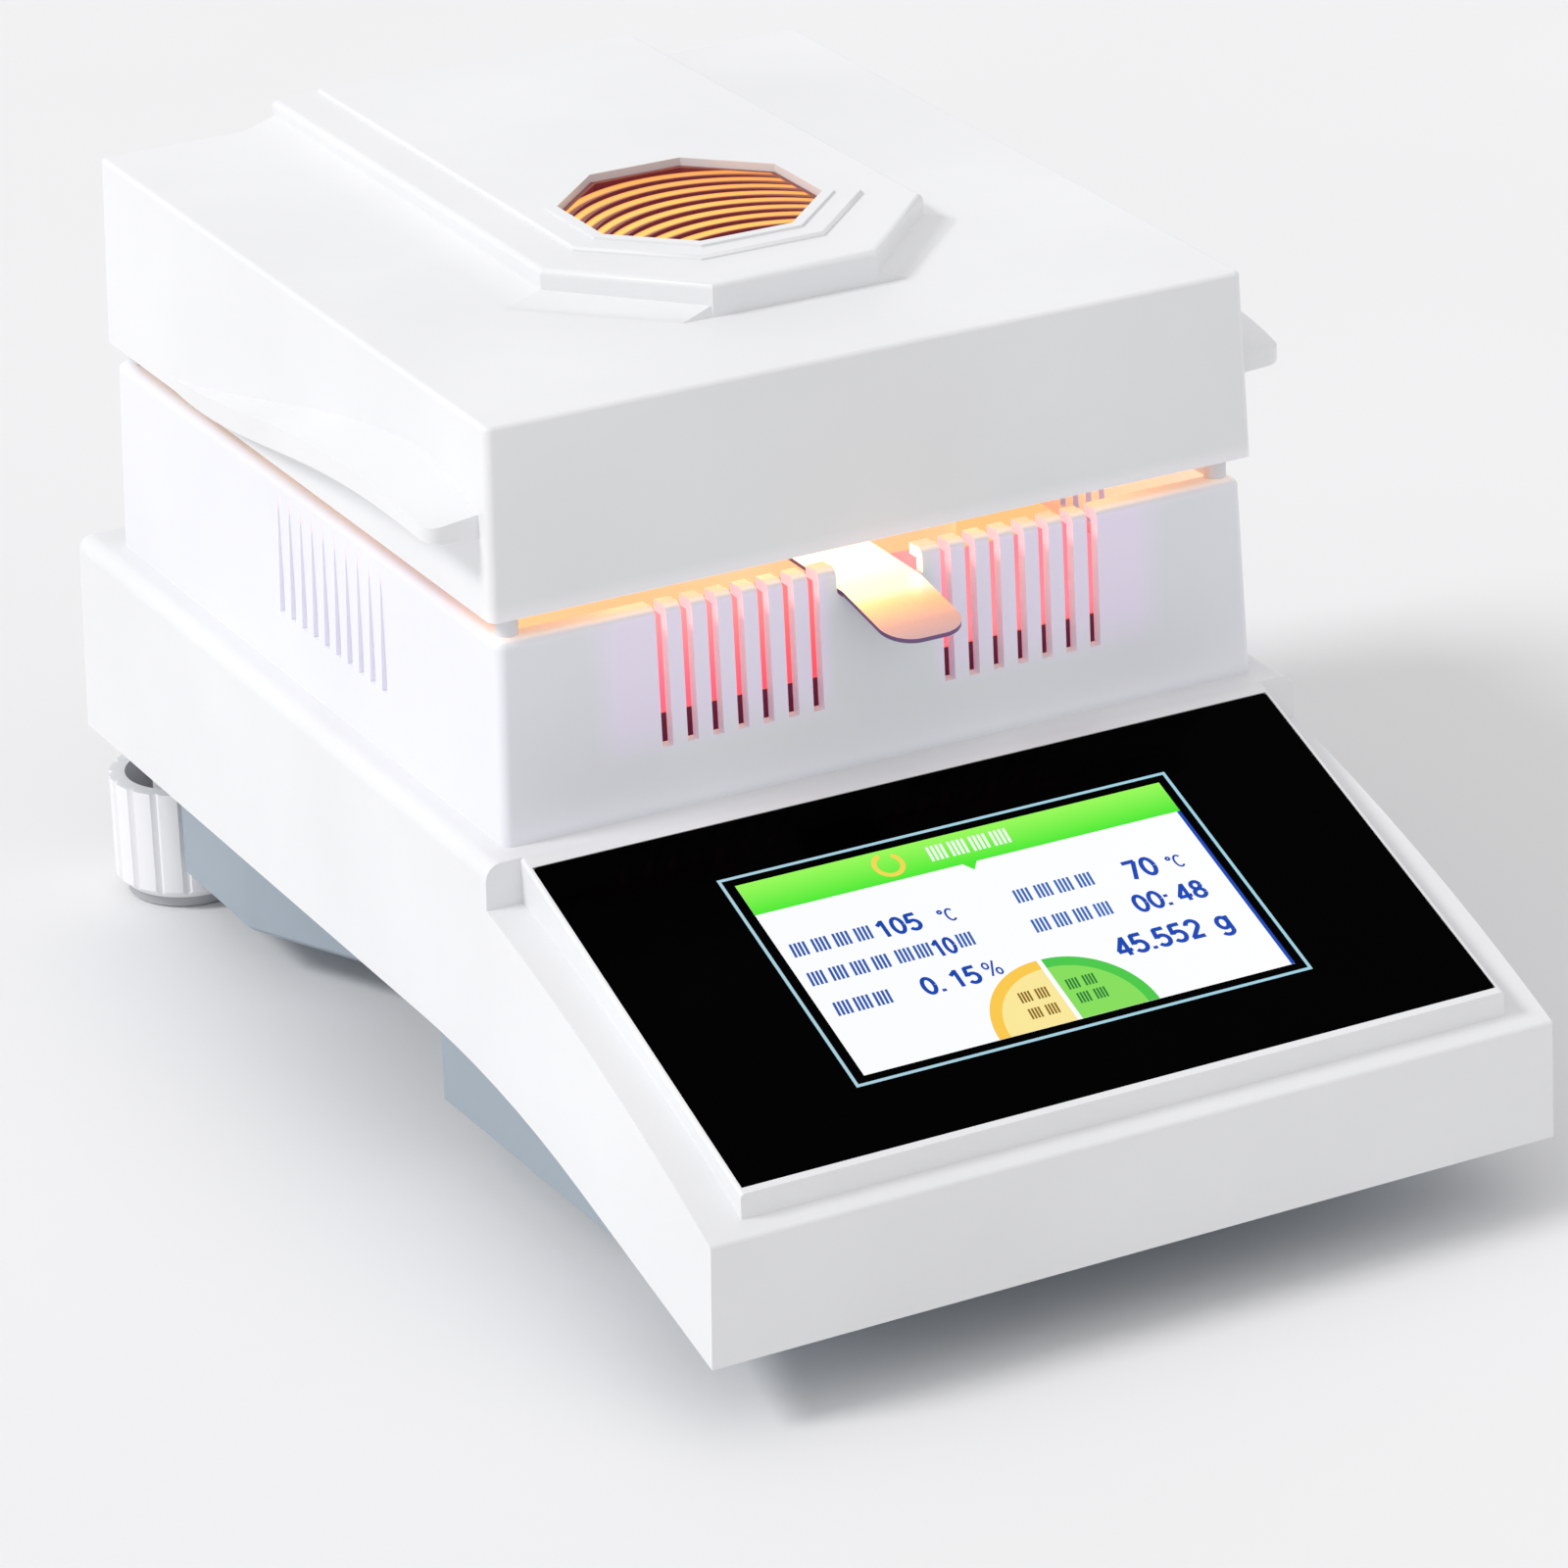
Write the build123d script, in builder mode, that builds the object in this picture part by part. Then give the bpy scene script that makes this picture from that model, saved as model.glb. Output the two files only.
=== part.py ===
from build123d import *
import os
from math import atan2, cos, degrees, radians, sin, tan

os.makedirs("parts", exist_ok=True)

# Halogen moisture analyser, closed, standing on its four feet.
# Millimetres, +Z up, front towards -Y, origin on the ground under the middle of the base.

# Base shell
base_width = 212.6
flank_draft = 2.1
front_ledge = 4.7
deck_width = base_width - 2 * flank_draft
deck_height = 92.0
underside_height = 41.5
shell_wall = 2.6
bend_reach = 143.0
bend_radius = 340.0
bend_angle = 13.6
lip_top_height = 45.5
shoulder_drop = 10.8
shoulder_bulge = 3.0
deck_edge_radius = 4.0
lip_edge_radius = 1.2

# Sloping console
front_strip = 7.7
console_slope = 20.6
console_length = 109.6
console_margin = 8.5
console_width = deck_width - 2 * console_margin
console_wall = 3.6
console_edge_radius = 1.0

# Touch panel and display
glass_side_margin = 1.4
glass_width = console_width - 2 * glass_side_margin
glass_margin = 4.0
glass_low_margin = 2.0
glass_length = console_length - glass_margin - glass_low_margin
glass_thickness = 1.5
glass_fit = 0.25
display_width = 120.7
display_length = 75.8
display_thickness = 5.2
display_view_width = 111.0
display_view_length = 67.0
bracket_thickness = 1.2
bracket_lug = 9.0
display_board_gap = 4.0
board_thickness = 1.6

# Heating chamber
rear_shelf = 14.0
chamber_margin = 9.2
chamber_width = deck_width - 2 * chamber_margin
chamber_depth = 217.0
chamber_height = 48.2
chamber_draft = 1.8
chamber_wall = 3.0
rim_width = 6.0
rim_thickness = 3.0
rim_radius = 2.4
slot_width = 2.7
slot_pitch = 6.37
slot_sill = 15.3
front_slot_offset = 16.9
front_slots = 7
side_slots = 10
side_slot_offset = 60.7
notch_width = 22.0
notch_depth = 7.2
chamber_post_inset = 15.0
chamber_post_radius = 4.5
chamber_post_height = 10.0
foot_ledge = 12.0
ledge_sheet = 2.6
liner_gap = 6.5
liner_sheet = 0.8
liner_height = 16.0

# Weighing system
pan_setback = 88.7
spindle_radius = 4.0
spindle_hole_radius = 6.5
spindle_fit = 0.06
weighing_travel = 0.4
pan_gap = 0.3
support_sheet = 1.2
support_reach = 38.0
pan_radius = 46.0
pan_rim = 4.0
pan_depth = 6.4
pan_sheet = 0.5
ring_radius = 60.0
ring_wall = 1.6
ring_crown = 133.3
handler_sheet = 1.0
handler_width = 20.0
handler_reach = 25.0
handler_slope = 10.0
cell_length = 112.0
cell_width = 30.0
cell_height = 22.0

# Lid
lid_overhang = 0.4
lid_width = chamber_width + 2 * lid_overhang
lid_gap = 5.4
lid_height = 44.7
lid_rise = 2.0
lid_draft = 1.7
lid_wall = 3.0
lid_edge_radius = 1.2
hump_width = 99.0
hump_nose_width = 42.0
hump_setback = 36.6
hump_corner = 30.0
hump_height = 8.4
hump_flare = 11.0
hump_flare_height = 3.2
plateau_inset = 11.8
plateau_step = 1.0
plateau_setback = 15.4
window_across = 57.0
window_lip = 2.6
window_lip_height = 0.6
wing_span = 14.6

# Lamp and window
grille_bars = 9
grille_pitch = 6.0
grille_bar = 3.7
grille_radius = 38.0
window_glass_thickness = 2.0
lid_liner_sheet = 1.2
lid_liner_rise = 7.4
lamp_opening_radius = 60.0
guard_glass_radius = 63.0
guard_glass_thickness = 3.0
lamp_ring_radius = 38.0
lamp_tube_radius = 4.0
reflector_sheet = 0.8
reflector_height = 24.0
reflector_crown_radius = 33.0

# Hinge
hinge_spread = chamber_width / 2 - 33.0
hinge_width = 32.0
hinge_leaf = 2.0
bracket_leaf_height = 21.2
arm_leaf_height = 14.0
knuckle_radius = 4.5
hinge_pin_radius = 2.5
hinge_fit = 0.06

# Underside
tray_fit = 0.4
tray_plate = 2.4
tray_floor_height = 12.0
rear_foot_setback = 20.1
knob_radius = 18.0
rear_foot_spread = base_width / 2 - knob_radius
knob_top = 32.0
knob_wall = 4.0
knob_flutes = 16
sole_radius = 15.0
sole_height = 3.0
stem_radius = 4.0
stem_top = 60.0
insert_wall = 2.0
sleeve_low = 38.0
sleeve_length = 16.0
sleeve_wall = 2.2
running_fit = 0.05
front_foot_spread = base_width / 2 - 32.3
front_foot_setback = 78.0
front_foot_radius = 9.0

# Fasteners
screw_radius = 1.5
screw_head_radius = 3.0
screw_head = 2.0

# Inside the base
chassis_thickness = 2.0
chassis_clear = 4.0
standoff_height = 6.0

# Rear panel
panel_end_margin = 2.0
panel_recess = 2.4
panel_width = base_width - 44.6
panel_height = 32.0
inlet_width = 48.0
inlet_height = 27.0
switch_width = 15.0
switch_height = 21.0
rocker_fit = 0.3
port_width = 31.0
port_height = 12.6
socket_width = 24.5
socket_height = 16.5
socket_depth = 17.0

# How a block or a cylinder stands on its place, or hangs from it
standing = (Align.CENTER, Align.CENTER, Align.MIN)
hanging = (Align.CENTER, Align.CENTER, Align.MAX)

# Places that follow from the sizes above
console_run = console_length * cos(radians(console_slope))
base_depth = rear_shelf + chamber_depth + front_strip + console_run + front_ledge
front_y = -base_depth / 2
back_y = base_depth / 2
bend_y = front_y + bend_reach
chamber_back_y = back_y - rear_shelf
chamber_front_y = chamber_back_y - chamber_depth
chamber_mid_y = (chamber_back_y + chamber_front_y) / 2
chamber_post_grid = (chamber_width - 2 * chamber_post_inset, chamber_depth - 2 * chamber_post_inset, 2, 2)
deck_front_y = chamber_front_y - front_strip
pan_y = chamber_front_y + pan_setback
rim_z = deck_height + chamber_height
lid_bottom_z = rim_z + lid_gap
lid_front_top_z = lid_bottom_z + lid_height
lid_back_top_z = lid_front_top_z + lid_rise
hump_top_z = lid_front_top_z + hump_height
plateau_z = hump_top_z + plateau_step
bend_end = (
    bend_y - bend_radius * sin(radians(bend_angle)),
    underside_height - bend_radius * (1 - cos(radians(bend_angle))),
)
bend_middle = (
    bend_y - bend_radius * sin(radians(bend_angle / 2)),
    underside_height - bend_radius * (1 - cos(radians(bend_angle / 2))),
)
lip_bottom_z = bend_end[1] - (bend_end[0] - front_y) * tan(radians(bend_angle))
shoulder_z = deck_height - shoulder_drop
console_plane = Plane(
    origin=(0, deck_front_y, deck_height),
    x_dir=(1, 0, 0),
    z_dir=(0, -sin(radians(console_slope)), cos(radians(console_slope))),
)
console_front_y = deck_front_y - console_run
console_front_z = deck_height - console_length * sin(radians(console_slope))
glass_middle = -(glass_margin + glass_length / 2)


def base_side(inset):
    """Side outline of the base: deck, ledge end, bowed shoulder, front lip and bent lower edge."""
    with BuildSketch(Plane.YZ) as outline:
        with BuildLine():
            rear = Polyline(
                (bend_y, underside_height),
                (back_y, underside_height),
                (back_y, deck_height),
                (deck_front_y, deck_height),
                (deck_front_y, shoulder_z),
            )
            middle = ((deck_front_y + front_y) / 2, (shoulder_z + lip_top_height) / 2 + shoulder_bulge)
            shoulder = ThreePointArc(rear @ 1, middle, (front_y, lip_top_height))
            lip = Line(shoulder @ 1, (front_y, lip_bottom_z))
            ramp = Line(lip @ 1, bend_end)
            ThreePointArc(ramp @ 1, bend_middle, rear @ 0)
        make_face()
        if inset:
            offset(amount=-inset, kind=Kind.INTERSECTION)
    return outline.sketch


def drafted_block(side, low_z, low_width, high_z, high_width):
    """Extrude a side outline across the object and trim its flanks to a draft."""
    with BuildPart() as block:
        extrude(side, amount=base_width, both=True)
        with BuildSketch(Plane.XZ):
            with BuildLine():
                Polyline(
                    (-low_width / 2, low_z),
                    (low_width / 2, low_z),
                    (high_width / 2, high_z),
                    (-high_width / 2, high_z),
                    close=True,
                )
            make_face()
        extrude(amount=base_depth, both=True, mode=Mode.INTERSECT)
    return block.part


def flank_block(inset):
    return drafted_block(
        base_side(inset), lip_bottom_z, base_width - 2 * inset, deck_height, deck_width - 2 * inset
    )


def console_side(inset):
    """Side outline of the raised console that carries the touch panel."""
    with BuildSketch(Plane.YZ) as outline:
        with BuildLine():
            Polyline(
                (deck_front_y + front_strip, deck_height),
                (deck_front_y, deck_height),
                (console_front_y, console_front_z),
                (console_front_y, lip_top_height - 8),
                (deck_front_y + front_strip, shoulder_z - 12),
                close=True,
            )
        make_face()
        if inset:
            offset(amount=-inset, kind=Kind.INTERSECTION)
    return outline.sketch


# Base housing: one moulded shell, open below
rear_boss_y = back_y - 13.0
screw_places = [(side * (deck_width / 2 - 9), y) for side in (-1, 1) for y in (back_y - 125, front_y + 165)]
screw_places.append((0.0, rear_boss_y))
tray_body = flank_block(shell_wall + tray_fit)
tray_trim = tray_body.moved(Location((0, 0, tray_plate)))
tray_low_z = underside_height + shell_wall + tray_fit
base_cavity = flank_block(shell_wall)
base_opening = flank_block(shell_wall).moved(Location((0, 0, -1.5 * shell_wall)))
panel_mid_z = (deck_height + underside_height) / 2 + 2
inlet_x = panel_end_margin + inlet_width / 2 - panel_width / 2
switch_x = inlet_x + inlet_width / 2 + switch_width / 2 + 8.5
port_x = panel_width / 2 - port_width / 2 - 20.5

with BuildPart() as base_housing:
    add(flank_block(0))
    deck_edges = base_housing.edges().group_by(Axis.Z)[-1]
    deck_rim = deck_edges.filter_by(Axis.Y) + [deck_edges.sort_by(Axis.Y)[-1]]
    rear_corners = base_housing.edges().filter_by(
        lambda e: abs(e.center().Y - back_y) < 0.1 and abs(e.center().X) > deck_width * 0.45
    )
    fillet(deck_rim + rear_corners, deck_edge_radius)
    lip_edge = base_housing.edges().filter_by(
        lambda e: abs(e.center().Y - front_y) < 0.1 and abs(e.center().Z - lip_top_height) < 0.1
    )
    fillet(lip_edge, lip_edge_radius)
    extrude(console_side(0), amount=console_width / 2, both=True)
    console_edges = base_housing.edges().filter_by(
        lambda e: abs(abs(e.center().X) - console_width / 2) < 0.1
        and abs(console_plane.to_local_coords(e.center()).Z) < 0.1
    )
    fillet(console_edges, console_edge_radius)
    add(base_cavity, mode=Mode.SUBTRACT)
    add(base_opening, mode=Mode.SUBTRACT)
    console_pocket = console_side(console_wall)
    extrude(console_pocket, amount=console_width / 2 - console_wall, both=True, mode=Mode.SUBTRACT)
    # Seat of the touch panel and the cut-out behind its clear area
    with BuildSketch(console_plane):
        with Locations((0, glass_middle)):
            Rectangle(glass_width + 2 * glass_fit, glass_length + 2 * glass_fit)
    extrude(amount=-glass_thickness, mode=Mode.SUBTRACT)
    with BuildSketch(console_plane):
        with Locations((0, glass_middle)):
            Rectangle(display_view_width, display_view_length)
    extrude(amount=-2 * console_wall, mode=Mode.SUBTRACT)
    # Pillars for the display bracket
    with BuildSketch(console_plane.offset(-console_wall + 0.5)):
        with Locations((0, glass_middle)):
            with GridLocations(display_width + bracket_lug, display_length - 20, 2, 2):
                Circle(3.5)
    extrude(amount=-(display_thickness + 0.5))
    # Rear panel recess with its backing wall and cut-outs
    with Locations((0, back_y - panel_recess - shell_wall, panel_mid_z)):
        Box(panel_width + 8, 2 * shell_wall, panel_height + 6)
    with BuildSketch(Plane.XZ.offset(-back_y)):
        with Locations((0, panel_mid_z)):
            RectangleRounded(panel_width, panel_height, 3)
    extrude(amount=panel_recess, mode=Mode.SUBTRACT)
    with BuildSketch(Plane.XZ.offset(-back_y)):
        with Locations((inlet_x, panel_mid_z)):
            Rectangle(inlet_width - 17, inlet_height - 4)
        with Locations((switch_x, panel_mid_z)):
            Rectangle(switch_width - 2.5, switch_height - 2)
        with Locations((port_x, panel_mid_z)):
            Rectangle(port_width - 13, port_height - 3)
    extrude(amount=6 * shell_wall, mode=Mode.SUBTRACT)
    # Spindle hole and the holes of the chamber screws in the deck
    with Locations(Plane.XY.offset(deck_height)):
        with Locations((0, pan_y)):
            Hole(spindle_hole_radius, 2 * shell_wall)
        with Locations((0, chamber_mid_y)):
            with GridLocations(*chamber_post_grid):
                Hole(2.2, 2 * shell_wall)

# Bosses under the deck that take the tray's screws
with BuildPart() as deck_bosses:
    with BuildSketch(Plane.XY):
        with Locations(*screw_places):
            Circle(4)
    extrude(amount=2 * deck_height)
    add(tray_trim, mode=Mode.INTERSECT)
    with BuildSketch(Plane.XY):
        with Locations(*screw_places):
            Circle(1.5)
    extrude(amount=tray_low_z + tray_plate + 12, mode=Mode.SUBTRACT)

with base_housing:
    add(deck_bosses.part)

# Heating chamber: slotted outer wall with a returned rim, standing on the deck
chamber_foot_width = chamber_width + 2 * chamber_draft


def chamber_side(inset):
    with BuildSketch(Plane.YZ) as outline:
        with BuildLine():
            Polyline(
                (chamber_front_y - chamber_draft + inset, deck_height),
                (chamber_back_y - inset, deck_height),
                (chamber_back_y - inset, rim_z),
                (chamber_front_y + inset, rim_z),
                close=True,
            )
        make_face()
    return outline.sketch


def chamber_block(inset):
    return drafted_block(
        chamber_side(inset), deck_height, chamber_foot_width - 2 * inset, rim_z, chamber_width - 2 * inset
    )


chamber_core = chamber_block(chamber_wall)
chamber_throat = chamber_block(rim_width)
chamber_floor_hole = chamber_block(chamber_wall + foot_ledge)
slot_height = rim_z - deck_height - slot_sill
vent_reach = rim_width + chamber_draft + 1
bumper_x = chamber_width / 2 - 3.4
bumper_y = chamber_depth / 2 - 3.4

with BuildPart() as chamber_housing:
    add(chamber_block(0))
    corner_edges = chamber_housing.edges().filter_by(
        lambda e: abs(e.center().X) > chamber_width * 0.45
        and abs(e.center().Z - (deck_height + rim_z) / 2) < 1
    )
    rim_edges = chamber_housing.edges().group_by(Axis.Z)[-1]
    fillet(corner_edges + rim_edges, rim_radius)
    add(chamber_core.moved(Location((0, 0, ledge_sheet))), mode=Mode.SUBTRACT)
    add(chamber_floor_hole, mode=Mode.SUBTRACT)
    # The rim returns inwards over the wall
    with BuildSketch(Plane.XY.offset(rim_z - rim_thickness)):
        with Locations((0, chamber_mid_y)):
            Rectangle(chamber_width - chamber_wall, chamber_depth - chamber_wall)
            Rectangle(chamber_width - 2 * rim_width, chamber_depth - 2 * rim_width, mode=Mode.SUBTRACT)
    extrude(amount=rim_thickness - 0.3)
    # Corner posts that carry the bumpers and take the chamber screws
    with BuildSketch(Plane.XY.offset(deck_height)):
        with Locations((0, chamber_mid_y)):
            with GridLocations(*chamber_post_grid):
                Circle(chamber_post_radius)
    extrude(amount=chamber_post_height)
    with Locations(Plane.XY.offset(deck_height)):
        with Locations((0, chamber_mid_y)):
            with GridLocations(*chamber_post_grid):
                Hole(screw_radius, chamber_post_height - 1)
    # Vent slots, open through the rim
    with BuildSketch(Plane.XZ.offset(-chamber_front_y - rim_width)) as front_vents:
        for side in (-1, 1):
            for index in range(front_slots):
                with Locations((side * (front_slot_offset + index * slot_pitch), rim_z)):
                    Rectangle(slot_width, 2 * slot_height)
        with Locations((0, rim_z)):
            RectangleRounded(notch_width, 2 * notch_depth, 2.0)
    extrude(amount=vent_reach, mode=Mode.SUBTRACT)
    with BuildSketch(Plane.YZ.offset(chamber_width / 2 - rim_width)) as side_vents:
        for index in range(side_slots):
            with Locations((chamber_front_y + side_slot_offset + index * slot_pitch, rim_z)):
                Rectangle(slot_width, 2 * slot_height)
    extrude(amount=vent_reach, mode=Mode.SUBTRACT)
    left_vents = side_vents.sketch.moved(Location((rim_width - chamber_width, 0, 0)))
    extrude(left_vents, amount=-vent_reach, mode=Mode.SUBTRACT)

# Rubber bumpers between the rim and the closed lid
with BuildPart() as bumper_pads:
    with BuildSketch(Plane.XY.offset(rim_z)):
        with Locations((0, chamber_mid_y)):
            with GridLocations(2 * bumper_x - 2, 2 * bumper_y - 2, 2, 2):
                Circle(2.6)
    extrude(amount=lid_gap)

# Chamber liner: low stainless tray round the draught ring
liner_width = chamber_width - 2 * (chamber_wall + liner_gap)
liner_depth = chamber_depth - 2 * (chamber_wall + liner_gap)
liner_z = deck_height + ledge_sheet
with BuildPart() as chamber_liner:
    with BuildSketch(Plane.XY.offset(liner_z)):
        with Locations((0, chamber_mid_y)):
            RectangleRounded(liner_width, liner_depth, 4)
    extrude(amount=liner_height)
    with BuildSketch(Plane.XY.offset(liner_z + liner_sheet)):
        with Locations((0, chamber_mid_y)):
            RectangleRounded(liner_width - 2 * liner_sheet, liner_depth - 2 * liner_sheet, 4 - liner_sheet)
    extrude(amount=liner_height, mode=Mode.SUBTRACT)
    with Locations(Plane.XY.offset(liner_z + liner_sheet)):
        with Locations((0, pan_y)):
            Hole(spindle_hole_radius, 2 * liner_sheet)
        with Locations((0, chamber_mid_y)):
            with GridLocations(*chamber_post_grid):
                Hole(chamber_post_radius + 0.3, 2 * liner_sheet)

# Draught ring that carries the pan handler
with BuildPart() as draught_ring:
    with BuildSketch(Plane.XY.offset(liner_z + liner_sheet)):
        with Locations((0, pan_y)):
            Circle(ring_radius)
            Circle(ring_radius - ring_wall, mode=Mode.SUBTRACT)
    extrude(amount=ring_crown - liner_z - liner_sheet)

# Pan handler: ring plate with a tongue that leaves through the notch and slopes down
handler_z = ring_crown + pan_gap
handler_ring_hole = pan_radius + 1.4
tongue_root_y = chamber_front_y + rim_width
tongue_drop = handler_reach * tan(radians(handler_slope))
tongue_plan_length = 80.0
with BuildPart() as handler_tongue:
    # Sloping tongue, bent down along the chamber front, with a rounded tip
    with BuildSketch(Plane.YZ):
        with BuildLine():
            bend = (chamber_front_y - 1, handler_z)
            tip = (chamber_front_y - handler_reach, handler_z - tongue_drop)
            Polyline(
                (tongue_root_y, handler_z + handler_sheet),
                (tongue_root_y, handler_z),
                bend,
                tip,
                (tip[0], tip[1] + handler_sheet),
                (bend[0], bend[1] + handler_sheet),
                close=True,
            )
        make_face()
    extrude(amount=handler_width / 2, both=True)
    with BuildSketch(Plane.XY.offset(handler_z - 2 * tongue_drop)):
        with Locations((0, chamber_front_y - handler_reach + tongue_plan_length / 2)):
            RectangleRounded(handler_width, tongue_plan_length, handler_width * 0.36)
    extrude(amount=4 * tongue_drop, mode=Mode.INTERSECT)

with BuildPart() as pan_handler:
    with BuildSketch(Plane.XY.offset(handler_z)):
        with Locations((0, pan_y)):
            Circle(ring_radius + 2)
        with Locations((0, (tongue_root_y + pan_y) / 2)):
            Rectangle(handler_width, pan_y - tongue_root_y)
        with Locations((0, pan_y)):
            Circle(handler_ring_hole, mode=Mode.SUBTRACT)
    extrude(amount=handler_sheet)
    add(handler_tongue.part)

# Sample pan with a rolled rim over the handler's ring
pan_floor_z = handler_z + handler_sheet + pan_gap - pan_depth + pan_sheet
pan_rim_z = pan_floor_z + pan_depth - pan_sheet
with BuildPart() as sample_pan:
    with BuildSketch(Plane.XZ.offset(-pan_y)):
        with BuildLine():
            Polyline(
                (0, pan_floor_z),
                (pan_radius - 2.5, pan_floor_z),
                (pan_radius, pan_floor_z + 2.5),
                (pan_radius, pan_rim_z),
                (pan_radius + pan_rim, pan_rim_z),
                (pan_radius + pan_rim, pan_rim_z + pan_sheet),
                (pan_radius - pan_sheet, pan_rim_z + pan_sheet),
                (pan_radius - pan_sheet, pan_floor_z + 2.5 + 0.2),
                (pan_radius - 2.7, pan_floor_z + pan_sheet),
                (0, pan_floor_z + pan_sheet),
                close=True,
            )
        make_face()
    revolve(axis=Axis((0, pan_y, 0), (0, 0, 1)))

# Pan support: three-armed spider on the weighing spindle
support_z = pan_floor_z - pan_gap - support_sheet
with BuildPart() as pan_support:
    with BuildSketch(Plane.XY.offset(support_z)):
        with Locations((0, pan_y)):
            Circle(9)
            with PolarLocations(support_reach / 2, 3, start_angle=90):
                Rectangle(support_reach, 7)
            with PolarLocations(support_reach - 2, 3, start_angle=90):
                Circle(5)
            Circle(spindle_radius * 0.6, mode=Mode.SUBTRACT)
    extrude(amount=support_sheet)

# Load cell: milled bar with the two linked bores of its flexure, on a block at the back
chassis_z = underside_height + shell_wall + tray_fit + tray_plate + chassis_clear
cell_z = chassis_z + chassis_thickness + 8
cell_free_y = pan_y - 14
cell_mid_y = cell_free_y + cell_length / 2
cell_top_z = cell_z + cell_height
cell_bore = cell_height * 0.32
with BuildPart() as load_cell:
    with Locations((0, cell_mid_y, cell_z + cell_height / 2)):
        Box(cell_width, cell_length, cell_height)
    with BuildSketch(Plane.YZ.offset(-cell_width)):
        with Locations((cell_mid_y, cell_z + cell_height / 2)):
            with Locations((-14, 0), (14, 0)):
                Circle(cell_bore)
            Rectangle(28, 3)
    extrude(amount=2 * cell_width, mode=Mode.SUBTRACT)
    with Locations(Plane.XY.offset(cell_top_z)):
        with Locations((0, pan_y)):
            Hole(spindle_radius + spindle_fit)

with BuildPart() as load_cell_mount:
    with Locations((0, cell_free_y + cell_length - 16, (chassis_z + chassis_thickness + cell_z) / 2)):
        Box(cell_width, 32, cell_z - chassis_z - chassis_thickness)

# Weighing spindle, guided in the free end of the cell
collar_z = cell_top_z + weighing_travel + 0.1
with BuildPart() as weighing_spindle:
    with BuildSketch(Plane.XZ.offset(-pan_y)):
        with BuildLine():
            Polyline(
                (0, cell_z + 3),
                (spindle_radius, cell_z + 3),
                (spindle_radius, collar_z),
                (spindle_radius + 3, collar_z),
                (spindle_radius + 3, collar_z + 3),
                (spindle_radius, collar_z + 3),
                (spindle_radius, support_z),
                (spindle_radius * 0.6, support_z),
                (spindle_radius * 0.6, support_z + support_sheet),
                (0, support_z + support_sheet),
                close=True,
            )
        make_face()
    revolve(axis=Axis((0, pan_y, 0), (0, 0, 1)))

# Lid shell: drafted box with a hump, a raised plateau, an octagonal window and two wings
hump_front_y = chamber_front_y + hump_setback
hump_corner_y = hump_front_y + hump_corner
plateau_front_y = hump_front_y + plateau_setback
plateau_half = hump_width / 2 - plateau_inset
plateau_nose = hump_nose_width / 2 - plateau_inset / 2 + 0.7
plateau_corner_y = plateau_front_y + plateau_half - plateau_nose
lid_slope = degrees(atan2(lid_rise, chamber_depth))
lid_top_plane = Plane(
    origin=(0, chamber_front_y, lid_front_top_z),
    x_dir=(1, 0, 0),
    z_dir=(0, -sin(radians(lid_slope)), cos(radians(lid_slope))),
)
post_x = bumper_x - 1
post_y = bumper_y - 1
lid_boss_x = chamber_width / 2 - 15.0
lid_boss_y = chamber_depth / 2 - 20.5
hump_hollow_z = lid_front_top_z - 8
lid_liner_z = lid_bottom_z + lid_liner_rise
lid_liner_top = lid_liner_z + lid_liner_sheet


def lid_side(inset):
    with BuildSketch(Plane.YZ) as outline:
        with BuildLine():
            Polyline(
                (chamber_front_y - lid_draft + inset, lid_bottom_z),
                (chamber_back_y - inset, lid_bottom_z),
                (chamber_back_y - inset, lid_back_top_z - inset),
                (chamber_front_y + inset, lid_front_top_z - inset),
                close=True,
            )
        make_face()
    return outline.sketch


def half_octagon(nose, front_y, half, corner_y, end_y):
    with BuildSketch() as outline:
        with BuildLine():
            Polyline(
                (-nose, front_y),
                (nose, front_y),
                (half, corner_y),
                (half, end_y),
                (-half, end_y),
                (-half, corner_y),
                close=True,
            )
        make_face()
    return outline.sketch


hump_plan = half_octagon(hump_nose_width / 2, hump_front_y, hump_width / 2, hump_corner_y, chamber_back_y)
hump_hollow = half_octagon(
    hump_nose_width / 2 - lid_wall * 0.4,
    hump_front_y + lid_wall,
    hump_width / 2 - lid_wall,
    hump_corner_y + lid_wall * 0.4,
    chamber_back_y - lid_wall,
)
plateau_plan = half_octagon(plateau_nose, plateau_front_y, plateau_half, plateau_corner_y, chamber_back_y - 1)

with BuildPart() as hump_skirt:
    with BuildSketch(lid_top_plane.offset(-0.6)):
        add(
            half_octagon(
                hump_nose_width / 2 + hump_flare * 0.86,
                hump_setback,
                hump_width / 2 + hump_flare + 0.5,
                hump_setback + hump_corner,
                chamber_depth - 1.5,
            )
        )
    with BuildSketch(lid_top_plane.offset(hump_flare_height)):
        add(
            half_octagon(
                hump_nose_width / 2 - 1,
                hump_setback + 0.5,
                hump_width / 2 - 1,
                hump_setback + hump_corner,
                chamber_depth - 1.5,
            )
        )
    loft(ruled=True)


def wing_section(x, top_points, low_points):
    with BuildSketch(Plane.YZ.offset(x)) as section:
        with BuildLine():
            top_edge = Spline(*[(chamber_front_y + run, lid_bottom_z + rise) for run, rise in top_points])
            low_edge = Spline(*[(chamber_front_y + run, lid_bottom_z + rise) for run, rise in low_points])
            Line(top_edge @ 1, low_edge @ 0)
            Line(low_edge @ 1, top_edge @ 0)
        make_face()
    return section.sketch


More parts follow.
